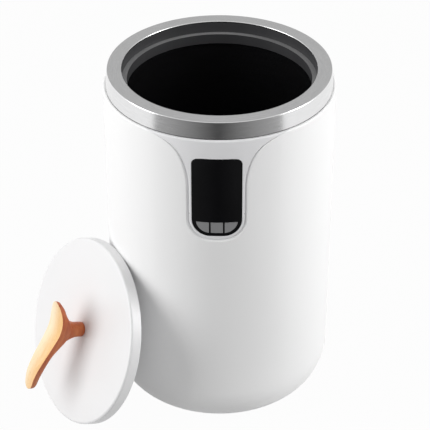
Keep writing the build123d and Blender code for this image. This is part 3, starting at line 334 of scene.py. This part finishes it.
# ---------------------------------------------------------------- material helpers
class Shader:
    """A node material with short calls for the nodes that it uses."""

    def __init__(self, name):
        self.material = bpy.data.materials.new(name)
        self.material.use_nodes = True
        self.tree = self.material.node_tree
        self.surface = self.tree.nodes["Principled BSDF"]

    def node(self, kind, **settings):
        made = self.tree.nodes.new(kind)
        for key, value in settings.items():
            setattr(made, key, value)
        return made

    def join(self, source, target):
        self.tree.links.new(source, target)

    def constant(self, **values):
        """Sets numbers on the surface's own sockets; underscores stand for spaces."""
        for key, value in values.items():
            socket = self.surface.inputs[key.replace("_", " ")]
            socket.default_value = value

    def position(self, scale=(1, 1, 1), turn=(0, 0, 0), origin=(0, 0, 0), kind="POINT"):
        """Object coordinates, moved and scaled."""
        coordinate = self.node("ShaderNodeTexCoord")
        mapping = self.node("ShaderNodeMapping", vector_type=kind)
        mapping.inputs["Location"].default_value = origin
        mapping.inputs["Rotation"].default_value = turn
        mapping.inputs["Scale"].default_value = scale
        self.join(coordinate.outputs["Object"], mapping.inputs["Vector"])
        return mapping.outputs["Vector"]

    def noise(self, vector, scale, detail=3.0, rough=0.5, distortion=0.0):
        made = self.node("ShaderNodeTexNoise")
        made.inputs["Scale"].default_value = scale
        made.inputs["Detail"].default_value = detail
        made.inputs["Roughness"].default_value = rough
        made.inputs["Distortion"].default_value = distortion
        self.join(vector, made.inputs["Vector"])
        return made.outputs["Fac"]

    def span(self, value, low, high, to_low=0.0, to_high=1.0):
        """Carries a range of values to another."""
        made = self.node("ShaderNodeMapRange")
        made.inputs["From Min"].default_value = low
        made.inputs["From Max"].default_value = high
        made.inputs["To Min"].default_value = to_low
        made.inputs["To Max"].default_value = to_high
        self.join(value, made.inputs["Value"])
        return made.outputs["Result"]

    def math(self, operation, a, b):
        made = self.node("ShaderNodeMath", operation=operation)
        for socket, value in zip(made.inputs, (a, b)):
            if isinstance(value, (int, float)):
                socket.default_value = value
            else:
                self.join(value, socket)
        return made.outputs[0]

    def ramp(self, value, *stops):
        """Colour ramp from (position, (r, g, b)) stops."""
        made = self.node("ShaderNodeValToRGB")
        elements = made.color_ramp.elements
        while len(elements) < len(stops):
            elements.new(0.5)
        for element, (place, colour) in zip(elements, stops):
            element.position = place
            element.color = (*colour, 1)
        self.join(value, made.inputs["Fac"])
        return made.outputs["Color"]

    def mix(self, share, first, second):
        """Colour mix of two sockets or constant colours."""
        made = self.node("ShaderNodeMix", data_type="RGBA")
        self.join(share, made.inputs["Factor"])
        for socket, value in ((made.inputs[6], first), (made.inputs[7], second)):
            if isinstance(value, tuple):
                socket.default_value = (*value, 1)
            else:
                self.join(value, socket)
        return made.outputs[2]

    def bump(self, height, strength, distance, below=None):
        made = self.node("ShaderNodeBump")
        made.inputs["Strength"].default_value = strength
        made.inputs["Distance"].default_value = distance
        self.join(height, made.inputs["Height"])
        if below is not None:
            self.join(below, made.inputs["Normal"])
        return made.outputs["Normal"]

    def feed(self, socket, value):
        self.join(value, self.surface.inputs[socket])

    def finish(self):
        return self.material


# ---------------------------------------------------------------- housing: shell and control panel
def shell_radius(z):
    """Outer radius of the housing's straight side."""
    widening = SHELL_TOP_RADIUS - SHELL_FOOT_RADIUS
    return SHELL_FOOT_RADIUS + widening * (z - SHELL_LOW_Z) / (DECK_Z - SHELL_LOW_Z)


def arc(steps, start=0.0, end=pi / 2):
    """Evenly spaced angles, both ends included."""
    return [start + (end - start) * k / steps for k in range(steps + 1)]


def make_piece(name, vertices, faces):
    """Mesh object with outward normals."""
    mesh = bpy.data.meshes.new(name)
    mesh.from_pydata(vertices, [], faces)
    piece = bpy.data.objects.new(name, mesh)
    bpy.context.scene.collection.objects.link(piece)
    work = bmesh.new()
    work.from_mesh(mesh)
    bmesh.ops.recalc_face_normals(work, faces=work.faces)
    work.to_mesh(mesh)
    work.free()
    return piece


def loft(name, rings, caps=True):
    """Solid through equal closed rings of points; caps close its two ends."""
    count = len(rings[0])
    vertices = [point for ring in rings for point in ring]
    faces = []
    for k in range(len(rings) - 1):
        for i in range(count):
            j = (i + 1) % count
            faces.append((k * count + i, k * count + j, (k + 1) * count + j, (k + 1) * count + i))
    if caps:
        faces.append(tuple(range(count)))
        faces.append(tuple((len(rings) - 1) * count + i for i in range(count)))
    return make_piece(name, vertices, faces)


def turned(name, profile, half_angle=pi):
    """Solid of a closed profile of (radius, height) points, turned about Z, centred on the front."""
    whole = half_angle >= pi
    steps = ROUND_SEGMENTS if whole else int(ROUND_SEGMENTS * half_angle / pi)
    count = steps if whole else steps + 1
    angles = [-pi / 2 - half_angle + 2 * half_angle * k / steps for k in range(count)]
    rings = [[(r * cos(a), r * sin(a), z) for r, z in profile] for a in angles]
    if whole:
        rings.append(rings[0])
    piece = loft(name, rings, caps=not whole)
    if whole:
        weld = bmesh.new()
        weld.from_mesh(piece.data)
        bmesh.ops.remove_doubles(weld, verts=weld.verts, dist=WELD_DISTANCE)
        bmesh.ops.recalc_face_normals(weld, faces=weld.faces)
        weld.to_mesh(piece.data)
        weld.free()
    return piece


def cut(piece, tool, operation="DIFFERENCE"):
    """Boolean that uses up its tool."""
    modifier = piece.modifiers.new("cut", "BOOLEAN")
    modifier.operation = operation
    modifier.solver = "EXACT"
    modifier.object = tool
    apply_modifiers(piece)
    bpy.data.objects.remove(tool)


def apply_modifiers(piece):
    """Bakes a piece's modifiers into its mesh."""
    graph = bpy.context.evaluated_depsgraph_get()
    mesh = bpy.data.meshes.new_from_object(piece.evaluated_get(graph))
    piece.modifiers.clear()
    piece.data = mesh


def tongue_line(grow):
    """Open outline of the tongue, from its top left down and up to its top right."""
    corner = TONGUE_CORNER_RADIUS
    low_x, low_z = TONGUE_HALF_WIDTH - corner, TONGUE_LOW_Z + corner
    flare_x = TONGUE_HALF_WIDTH + TONGUE_FLARE_SPREAD
    half = [(low_x * k / 4, TONGUE_LOW_Z - grow) for k in range(4)]
    half += [
        (low_x + (corner + grow) * sin(a), low_z - (corner + grow) * cos(a))
        for a in arc(TONGUE_CORNER_STEPS)
    ]
    rise = TONGUE_FLARE_Z - low_z
    half += [(TONGUE_HALF_WIDTH + grow, low_z + rise * k / 8) for k in range(1, 8)]
    half += [
        (
            flare_x
            - (TONGUE_FLARE_SPREAD - grow) * cos(a)
            + TONGUE_FLARE_TAIL * sin(a) ** TONGUE_TAIL_POWER,
            TONGUE_FLARE_Z + TONGUE_FLARE_HEIGHT * sin(a),
        )
        for a in arc(FLARE_STEPS, 0.0, TONGUE_FLARE_SWEEP)
    ]
    half.append((half[-1][0], DECK_Z + ABOVE_DECK))
    return [(-x, z) for x, z in reversed(half[1:])] + half


def window_line(grow):
    """Closed outline of the display window."""
    points = []
    for corner, side, up, radius in (
        (0, 1, 1, WINDOW_HIGH_CORNER), (1, 1, -1, WINDOW_LOW_CORNER),
        (2, -1, -1, WINDOW_LOW_CORNER), (3, -1, 1, WINDOW_HIGH_CORNER),
    ):
        x = side * (WINDOW_HALF_WIDTH - radius)
        z = WINDOW_HIGH_Z - radius if up > 0 else WINDOW_LOW_Z + radius
        for a in arc(WINDOW_CORNER_STEPS):
            turn = pi / 2 - a - corner * pi / 2
            points.append((x + (radius + grow) * cos(turn), z + (radius + grow) * sin(turn)))
    return points


def on_shell(line, depth):
    """Points of an outline laid on the front of the housing, at a depth below its surface."""
    return [(x, -sqrt((shell_radius(z) - depth) ** 2 - x * x), z) for x, z in line]


def flat(line, y):
    """Points of an outline in an upright plane."""
    return [(x, y, z) for x, z in line]


def edge_tool(name, outline, gap, round_radius, sign):
    """Solid whose side leaves a rounded edge where it meets the shell's surface.

    sign +1 widens it towards the outside, for a cut; -1 narrows it, for what is kept.
    """

    def level(a):
        return gap + sign * round_radius * (1 - sin(a)), round_radius * (1 - cos(a))

    grow, depth = level(EDGE_START)
    proud = outline(grow + sign * EDGE_LEAD)
    rings = [
        flat(proud, FRONT_PLANE_Y),
        on_shell(proud, depth - EDGE_LEAD * sin(EDGE_START) / cos(EDGE_START)),
    ]
    for a in arc(EDGE_STEPS, EDGE_START):
        grow, depth = level(a)
        rings.append(on_shell(outline(grow), depth))
    rings.append(flat(outline(gap), BACK_PLANE_Y))
    return loft(name, rings)


def crisp(piece, limit):
    """Smooth shading that keeps edges sharper than a limit."""
    piece.data.shade_smooth()
    piece.data.set_sharp_from_angle(angle=limit)


def lip_profile():
    """Rounded upper edge of the shell and the panel, as (radius, height)."""
    lip = SHELL_LIP_ROUND
    return [(SHELL_TOP_RADIUS - lip * (1 - cos(a)), DECK_Z - lip * (1 - sin(a))) for a in arc(LIP_STEPS)]


def under_lip():
    """Inner end of the deck and the point below it where the wall starts."""
    radius = SHELL_TOP_RADIUS - SHELL_LIP_ROUND - SHELL_WALL / 2
    return [(radius, DECK_Z), (radius, DECK_Z - SHELL_LIP_ROUND)]


def add_shell():
    """Outer shell: drawn-in foot, rounded lip, the tongue's opening and the gland's hole."""
    foot_x = shell_radius(SHELL_LOW_Z + SHELL_FOOT_RISE) - BASE_OPENING
    foot = [
        (BASE_OPENING + foot_x * sin(a), SHELL_LOW_Z + SHELL_FOOT_RISE * (1 - cos(a)))
        for a in arc(FOOT_STEPS)
    ]
    wall = SHELL_WALL
    inside = under_lip() + [(foot[-1][0] - wall, foot[-1][1])]
    inside += [
        (r - wall * FOOT_WALL_SHARE if r > BASE_OPENING else r, z + wall)
        for r, z in reversed(foot[0:FOOT_STEPS:FOOT_INSIDE_STRIDE])
    ]
    shell = turned("shell", foot + lip_profile() + inside)
    cut(shell, edge_tool("tongue_tool", tongue_line, 0.0, SEAM_SHELL_ROUND, 1))
    last = GLAND_SEGMENTS - 1
    angles = arc(last, 0.0, 2 * pi * last / GLAND_SEGMENTS)
    hole = loft("gland_tool", [
        [(GLAND_HOLE * cos(t), y, GLAND_Z + GLAND_HOLE * sin(t)) for t in angles]
        for y in (BACK_HOLE_Y, -FRONT_PLANE_Y)
    ])
    cut(shell, hole)
    crisp(shell, HOUSING_CREASE)
    return shell


def add_panel():
    """Control panel: fills the tongue up to the deck, with a round edge and the window's opening."""
    low = TONGUE_LOW_Z - PANEL_BELOW_TONGUE
    outside = [(shell_radius(low), low)] + lip_profile()
    inside = under_lip() + [(shell_radius(low) - SHELL_WALL, low)]
    panel = turned("panel", outside + inside, PANEL_HALF_ANGLE)
    cut(panel, edge_tool("panel_tool", tongue_line, -PANEL_SEAM, SEAM_PANEL_ROUND, -1), "INTERSECT")
    cut(panel, edge_tool("window_tool", window_line, WINDOW_GAP, BEZEL_ROUND, 1))
    crisp(panel, HOUSING_CREASE)
    return panel


def add_lap():
    """Flange of the panel that runs behind the seam."""

    def side(grow, depth):
        return on_shell(tongue_line(grow)[1:-1], depth)

    corners = (
        side(PANEL_LAP, LAP_DEPTH),
        side(PANEL_LAP, LAP_DEPTH + LAP_THICKNESS),
        side(-PANEL_LAP, LAP_DEPTH + LAP_THICKNESS),
        side(-PANEL_LAP, LAP_DEPTH),
    )
    return loft("panel_lap", [list(section) for section in zip(*corners)])


# ---------------------------------------------------------------- handle
def along(profile, b):
    """Smooth value at b of a curve given as (b, value) points in rising b."""
    last = len(profile) - 1
    k = max(i for i in range(last) if profile[i][0] <= max(b, profile[0][0]))
    before, after = profile[max(k - 1, 0)], profile[min(k + 2, last)]
    (b0, v0), (b1, v1) = profile[k], profile[k + 1]
    step = b1 - b0
    slope_0 = (v1 - before[1]) / (b1 - before[0]) * step
    slope_1 = (after[1] - v0) / (after[0] - b0) * step
    t = min(max((b - b0) / step, 0.0), 1.0)
    rise, fall = t * t * (3 - 2 * t), t * t * (t - 1)
    return v0 + (v1 - v0) * rise + slope_0 * t * (1 - t) ** 2 + slope_1 * fall


def from_lid(a, b, n):
    """Point in metres of a place in mm on the lid: along its edge, up its slope, out of its face."""
    return lid_face + (a * lid_level + b * lid_up + n * lid_out) / MM_PER_METRE


def grip_arm():
    """Both arms in one, from tip to tip, standing a little above the top face."""
    low, high = GRIP_WIDTH[0][0], GRIP_WIDTH[-1][0]
    rings = []
    for k in range(GRIP_STEPS + 1):
        b = (low + high) / 2 - (high - low) / 2 * cos(pi * k / GRIP_STEPS)
        half = max(along(GRIP_WIDTH, b) / 2, GRIP_LEAST_HALF_WIDTH)
        top, deep = along(GRIP_TOP, b), along(GRIP_DEPTH, b)
        ring = [from_lid(half * side, b, top + GRIP_EXTRA) for side in (1, 0, -1)]
        for t in arc(GRIP_ROUND_STEPS, 0.0, pi):
            across, down = (abs(share) ** GRIP_SQUARENESS for share in (cos(t), sin(t)))
            side = 1 if cos(t) > 0 else -1
            ring.append(from_lid(-half * across * side, b, top - deep * down))
        rings.append(ring)
    return loft("grip", rings)


def grip_stem():
    """Round stem that spreads up and down the arms near its top."""
    last = STEM_SEGMENTS - 1
    angles = arc(last, 0.0, 2 * pi * last / STEM_SEGMENTS)
    rings = []
    for n in [STEM_TOP * k / STEM_STEPS for k in range(STEM_STEPS + 1)]:
        up, down = along(STEM_UP, n), along(STEM_DOWN, n)
        rings.append([
            from_lid(STEM_RADIUS * cos(t), STEM_SHIFT + (up if sin(t) > 0 else down) * sin(t), n)
            for t in angles
        ])
    return loft("grip_stem", rings)


def top_tool():
    """Everything above the grip's slightly crowned top face."""
    half = TOP_TOOL_HALF_WIDTH
    rings = []
    for k in range(TOP_TOOL_STEPS + 1):
        b = TOP_TOOL_START + TOP_TOOL_LENGTH * k / TOP_TOOL_STEPS
        top = along(GRIP_TOP, b)
        row = [
            from_lid(a, b, top - GRIP_CROWN * (a / CROWN_HALF_WIDTH) ** 2)
            for a in range(-half, half + 1, TOP_TOOL_STRIDE)
        ]
        rings.append(row + [from_lid(half, b, TOP_TOOL_HEIGHT), from_lid(-half, b, TOP_TOOL_HEIGHT)])
    return loft("top_tool", rings)


def add_handle():
    """Carved grip: arms and stem blend, and the planed top meets the sides in a crisp edge."""
    handle = grip_arm()
    cut(handle, grip_stem(), "UNION")
    blend = handle.modifiers.new("blend", "REMESH")
    blend.mode = "VOXEL"
    blend.voxel_size = GRIP_VOXEL
    smooth = handle.modifiers.new("smooth", "SMOOTH")
    smooth.factor, smooth.iterations = GRIP_SMOOTHING_FACTOR, GRIP_SMOOTHING
    apply_modifiers(handle)
    cut(handle, top_tool())
    trim = bmesh.new()
    trim.from_mesh(handle.data)
    everything = trim.verts[:] + trim.edges[:] + trim.faces[:]
    bmesh.ops.bisect_plane(
        trim, geom=everything, plane_co=from_lid(0, 0, 0), plane_no=lid_out, clear_inner=True
    )
    trim.to_mesh(handle.data)
    trim.free()
    crisp(handle, GRIP_CREASE)
    return handle


# ---------------------------------------------------------------- materials
def plastic(name, colour, roughness, grain=0.06, coat=0.0):
    """Moulded plastic: slight unevenness in colour and gloss, fine spark-eroded grain."""
    shader = Shader(name)
    place = shader.position()
    cloud = shader.noise(place, 9.0, 4.0)
    low = tuple(channel * (1 - PLASTIC_TINT) for channel in colour)
    shader.feed("Base Color", shader.ramp(cloud, (0.3, low), (0.7, colour)))
    smear = shader.noise(place, 40.0, 5.0)
    shader.feed("Roughness", shader.span(smear, 0.3, 0.7, roughness - 0.03, roughness + 0.04))
    shader.feed("Normal", shader.bump(shader.noise(place, 1400.0, 2.0), grain, 0.0002))
    shader.constant(Coat_Weight=coat, Coat_Roughness=0.32)
    return shader.finish()


def brushed_metal(name, colour, roughness):
    """Metal with fine lines running round the bucket's axis."""
    shader = Shader(name)
    place = shader.position()
    split = shader.node("ShaderNodeSeparateXYZ")
    shader.join(place, split.inputs[0])
    squares = [shader.math("MULTIPLY", split.outputs[k], split.outputs[k]) for k in (0, 1)]
    radius = shader.math("SQRT", shader.math("ADD", *squares), 0.0)
    angle = shader.math("ARCTAN2", split.outputs[1], split.outputs[0])
    round_axis = shader.node("ShaderNodeCombineXYZ")
    shader.join(shader.math("MULTIPLY", radius, 2600.0), round_axis.inputs[0])
    shader.join(shader.math("MULTIPLY", angle, 7.0), round_axis.inputs[1])
    shader.join(shader.math("MULTIPLY", split.outputs[2], 2600.0), round_axis.inputs[2])
    lines = shader.noise(round_axis.outputs[0], 1.0, 4.0, 0.6)
    low = tuple(channel * 0.86 for channel in colour)
    shader.feed("Base Color", shader.ramp(lines, (0.3, low), (0.7, colour)))
    shader.feed("Roughness", shader.span(lines, 0.25, 0.75, roughness - 0.06, roughness + 0.08))
    shader.feed("Normal", shader.bump(lines, 0.12, 0.0001))
    shader.constant(Metallic=1.0, Anisotropic=0.6)
    tangent = shader.node("ShaderNodeTangent", direction_type="RADIAL", axis="Z")
    shader.feed("Tangent", tangent.outputs[0])
    return shader.finish()


def wood():
    """Oiled beech: the grain runs along the grip. The sides are painted darker and redder than the planed
    top, which is painted shade, partly the oil's deeper colour on the side grain. The pale cream across one
    edge of the top is a painted highlight.
    """
    shader = Shader("beech_wood")
    turn = Matrix((lid_level, lid_up, lid_out)).transposed().to_euler()
    place = shader.position(turn=turn, origin=lid_middle, kind="TEXTURE")
    stretch = shader.node("ShaderNodeMapping")
    stretch.inputs["Scale"].default_value = (1.0, 0.07, 1.0)
    shader.join(place, stretch.inputs["Vector"])
    long_grain = stretch.outputs["Vector"]
    bands = shader.noise(long_grain, 95.0, 6.0, 0.6, 0.6)
    fibres = shader.noise(long_grain, 900.0, 3.0, 0.7)
    cloud = shader.noise(place, 22.0, 3.0)
    normal = shader.node("ShaderNodeNewGeometry").outputs["Normal"]
    facing = shader.node("ShaderNodeVectorMath", operation="DOT_PRODUCT")
    facing.inputs[1].default_value = lid_out
    shader.join(normal, facing.inputs[0])
    # painted light: faces turned out of the lid take the lit top's colour, the others the side colour
    lit_top_share = shader.span(facing.outputs["Value"], 0.45, 0.9)
    across = shader.node("ShaderNodeSeparateXYZ")
    shader.join(place, across.inputs[0])
    # painted highlight: the pale cream across one edge of the top stands for light falling on it; the
    # golden is the wood's own tone
    highlight_cream = shader.ramp(
        bands, (0.28, (0.90, 0.70, 0.42)), (0.5, (0.95, 0.79, 0.54)), (0.72, (0.97, 0.84, 0.62))
    )
    golden_tone = shader.ramp(
        bands, (0.28, (0.80, 0.44, 0.14)), (0.5, (0.88, 0.52, 0.19)), (0.72, (0.92, 0.60, 0.27))
    )
    top = shader.mix(shader.span(across.outputs[0], -0.010, 0.014), highlight_cream, golden_tone)
    # side colour: painted shade, partly the oil's deeper colour on the side grain
    side = shader.ramp(
        bands, (0.28, (0.44, 0.075, 0.016)), (0.5, (0.62, 0.135, 0.03)), (0.75, (0.78, 0.24, 0.07))
    )
    body = shader.mix(lit_top_share, side, top)
    streaked = shader.mix(shader.span(fibres, 0.56, 0.74, 0.0, 0.35), body, (0.38, 0.17, 0.06))
    patches = shader.span(cloud, 0.45, 0.8, 0.0, 0.25)
    shader.feed("Base Color", shader.mix(patches, streaked, (0.75, 0.42, 0.18)))
    shader.feed("Roughness", shader.span(fibres, 0.3, 0.7, 0.34, 0.5))
    shader.feed("Normal", shader.bump(fibres, 0.18, 0.0003, shader.bump(bands, 0.08, 0.0006)))
    shader.constant(Coat_Weight=0.2, Coat_Roughness=0.25)
    return shader.finish()


def window_glass():
    """Black glass-hard window with a faint smear in its gloss."""
    shader = Shader("black_window")
    place = shader.position()
    smear = shader.noise(place, 25.0, 4.0)
    black = shader.ramp(smear, (0.3, (0.002, 0.002, 0.0025)), (0.7, (0.004, 0.004, 0.005)))
    shader.feed("Base Color", black)
    shader.feed("Roughness", shader.span(smear, 0.3, 0.7, 0.08, 0.14))
    shader.constant(Specular_IOR_Level=0.35)
    return shader.finish()


def collar_plastic():
    """Dark moulding whose upward faces, the ledge under the lid's seal among them, are paler: partly the
    ledge's own lighter edge, partly a painted highlight for light from above.
    """
    shader = Shader("collar_plastic")
    place = shader.position()
    split = shader.node("ShaderNodeSeparateXYZ")
    shader.join(shader.node("ShaderNodeNewGeometry").outputs["Normal"], split.inputs[0])
    # upward-facing faces get the paler grey: partly own colour, partly painted highlight
    lit_ledge_share = shader.span(split.outputs[2], 0.5, 0.9)
    cloud = shader.noise(place, 12.0, 4.0)
    dark = shader.ramp(cloud, (0.3, (0.05, 0.05, 0.053)), (0.7, (0.06, 0.06, 0.063)))
    ledge_mottle = shader.noise(place, 30.0, 4.0)
    pale_and_highlight_grey = shader.ramp(ledge_mottle, (0.3, (0.22, 0.22, 0.223)), (0.7, (0.27, 0.27, 0.273)))
    shader.feed("Base Color", shader.mix(lit_ledge_share, dark, pale_and_highlight_grey))
    shader.feed("Roughness", shader.span(shader.noise(place, 40.0, 5.0), 0.3, 0.7, 0.36, 0.46))
    shader.feed("Normal", shader.bump(shader.noise(place, 1400.0, 2.0), 0.2, 0.0002))
    return shader.finish()


def rubber(name, colour, roughness=0.75):
    """Matt rubber with a fine pitted grain."""
    shader = Shader(name)
    place = shader.position()
    grain = shader.noise(place, 1100.0, 4.0)
    low = tuple(channel * 0.75 for channel in colour)
    shader.feed("Base Color", shader.ramp(shader.noise(place, 60.0, 4.0), (0.3, low), (0.7, colour)))
    shader.feed("Roughness", shader.span(grain, 0.3, 0.7, roughness - 0.1, roughness + 0.1))
    shader.feed("Normal", shader.bump(grain, 0.2, 0.0003))
    return shader.finish()


def fibre(name, colour):
    """Felt or foam: soft mottled fibres."""
    shader = Shader(name)
    place = shader.position()
    fuzz = shader.noise(place, 500.0, 6.0, 0.7, 1.5)
    low = tuple(channel * 0.7 for channel in colour)
    shader.feed("Base Color", shader.ramp(fuzz, (0.3, low), (0.7, colour)))
    shader.feed("Normal", shader.bump(fuzz, 0.5, 0.0008))
    shader.constant(Roughness=0.95, Sheen_Weight=0.3)
    return shader.finish()


def anodised():
    """Glossy black tub: spun lines under a clear dark coat."""
    shader = Shader("black_anodised")
    place = shader.position((1, 1, 60))
    lines = shader.noise(place, 22.0, 4.0)
    black = shader.ramp(lines, (0.3, (0.008, 0.008, 0.009)), (0.7, (0.014, 0.014, 0.015)))
    shader.feed("Base Color", black)
    shader.feed("Roughness", shader.span(lines, 0.3, 0.7, 0.13, 0.2))
    shader.feed("Normal", shader.bump(lines, 0.03, 0.0002))
    shader.constant(Metallic=0.3, Coat_Weight=0.4, Coat_Roughness=0.1)
    return shader.finish()


def circuit_board():
    """Solder mask with a faint pattern of tracks."""
    shader = Shader("solder_mask")
    cells = shader.node("ShaderNodeTexVoronoi", distance="MANHATTAN", feature="F1")
    cells.inputs["Scale"].default_value = 160.0
    shader.join(shader.position(), cells.inputs["Vector"])
    tracks = shader.ramp(cells.outputs["Distance"], (0.3, (0.01, 0.09, 0.03)), (0.5, (0.02, 0.16, 0.06)))
    shader.feed("Base Color", tracks)
    shader.constant(Roughness=0.35)
    return shader.finish()


def paint(material, *names):
    """Gives CAD nodes a material."""
    for name in names:
        slots = nodes[name].data.materials
        slots.clear()
        slots.append(material)


def dress():
    """Every CAD node's material."""
    paint(plastic("white_plastic", (0.84, 0.84, 0.845), 0.4, coat=0.5), "outer_shell", "lid_cover")
    paint(plastic("panel_plastic", (0.80, 0.80, 0.81), 0.34, coat=0.1), "control_panel")
    paint(plastic("base_plastic", (0.80, 0.80, 0.81), 0.5, grain=0.2), "base_pan", "lid_plate")
    dark = plastic("dark_plastic", (0.055, 0.055, 0.058), 0.42, grain=0.25)
    paint(dark, "liner_stand", "board_cover", "display_module", "tact_switches")
    paint(plastic("part_white", (0.7, 0.7, 0.66), 0.55), "terminal_block", "thermal_cutout", "thermal_fuse")
    grey = plastic("button_grey", (0.26, 0.26, 0.265), 0.45, grain=0.15)
    paint(grey, "button_left", "button_middle", "button_right")
    paint(brushed_metal("ring_metal", (0.86, 0.86, 0.865), 0.15), "rim_ring")
    steel = brushed_metal("steel", (0.6, 0.6, 0.6), 0.25)
    paint(steel, "rim_screws", "base_screws", "panel_screws", "lid_screws")
    paint(steel, "handle_bolt", "handle_washer", "fuse_clip", "ntc_sensor")
    paint(collar_plastic(), "inner_collar")
    paint(anodised(), "inner_liner")
    paint(window_glass(), "display_window")
    black = rubber("black_rubber", (0.02, 0.02, 0.02))
    paint(black, "foot_ring", "cord_gland", "control_cable", "heater_leads")
    paint(rubber("grey_silicone", (0.35, 0.35, 0.36), 0.6), "lid_gasket")
    paint(rubber("heater_mat", (0.35, 0.06, 0.03), 0.6), "heating_element")
    paint(fibre("felt", (0.6, 0.58, 0.52)), "insulation_blanket")
    paint(fibre("foam", (0.75, 0.75, 0.72)), "lid_insulation")
    paint(circuit_board(), "control_board", "power_board")
    paint(wood(), "lid_handle")


def dress_piece(piece, material, body, slot, *replaced):
    """Gives a piece its material and its body, and hides the nodes it stands for; slot is not used."""
    piece.data.materials.clear()
    piece.data.materials.append(material)
    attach(piece, body)
    if replaced:
        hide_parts(*replaced)


add_camera()
add_world()
add_floor()
area_light("left_box", LEFT_BOX_PLACE, LEFT_BOX_SIZE, LEFT_BOX_POWER)
area_light("right_box", RIGHT_BOX_PLACE, RIGHT_BOX_SIZE, RIGHT_BOX_POWER)
add_cards()
dress()
white, panel_white, beech = (
    bpy.data.materials[name] for name in ("white_plastic", "panel_plastic", "beech_wood")
)
dress_piece(add_shell(), white, "housing", "white_plastic", "outer_shell")
dress_piece(add_panel(), panel_white, "housing", "panel_plastic", "control_panel")
dress_piece(add_lap(), panel_white, "housing", "panel_plastic")
dress_piece(add_handle(), beech, "lid", "beech", "lid_handle")
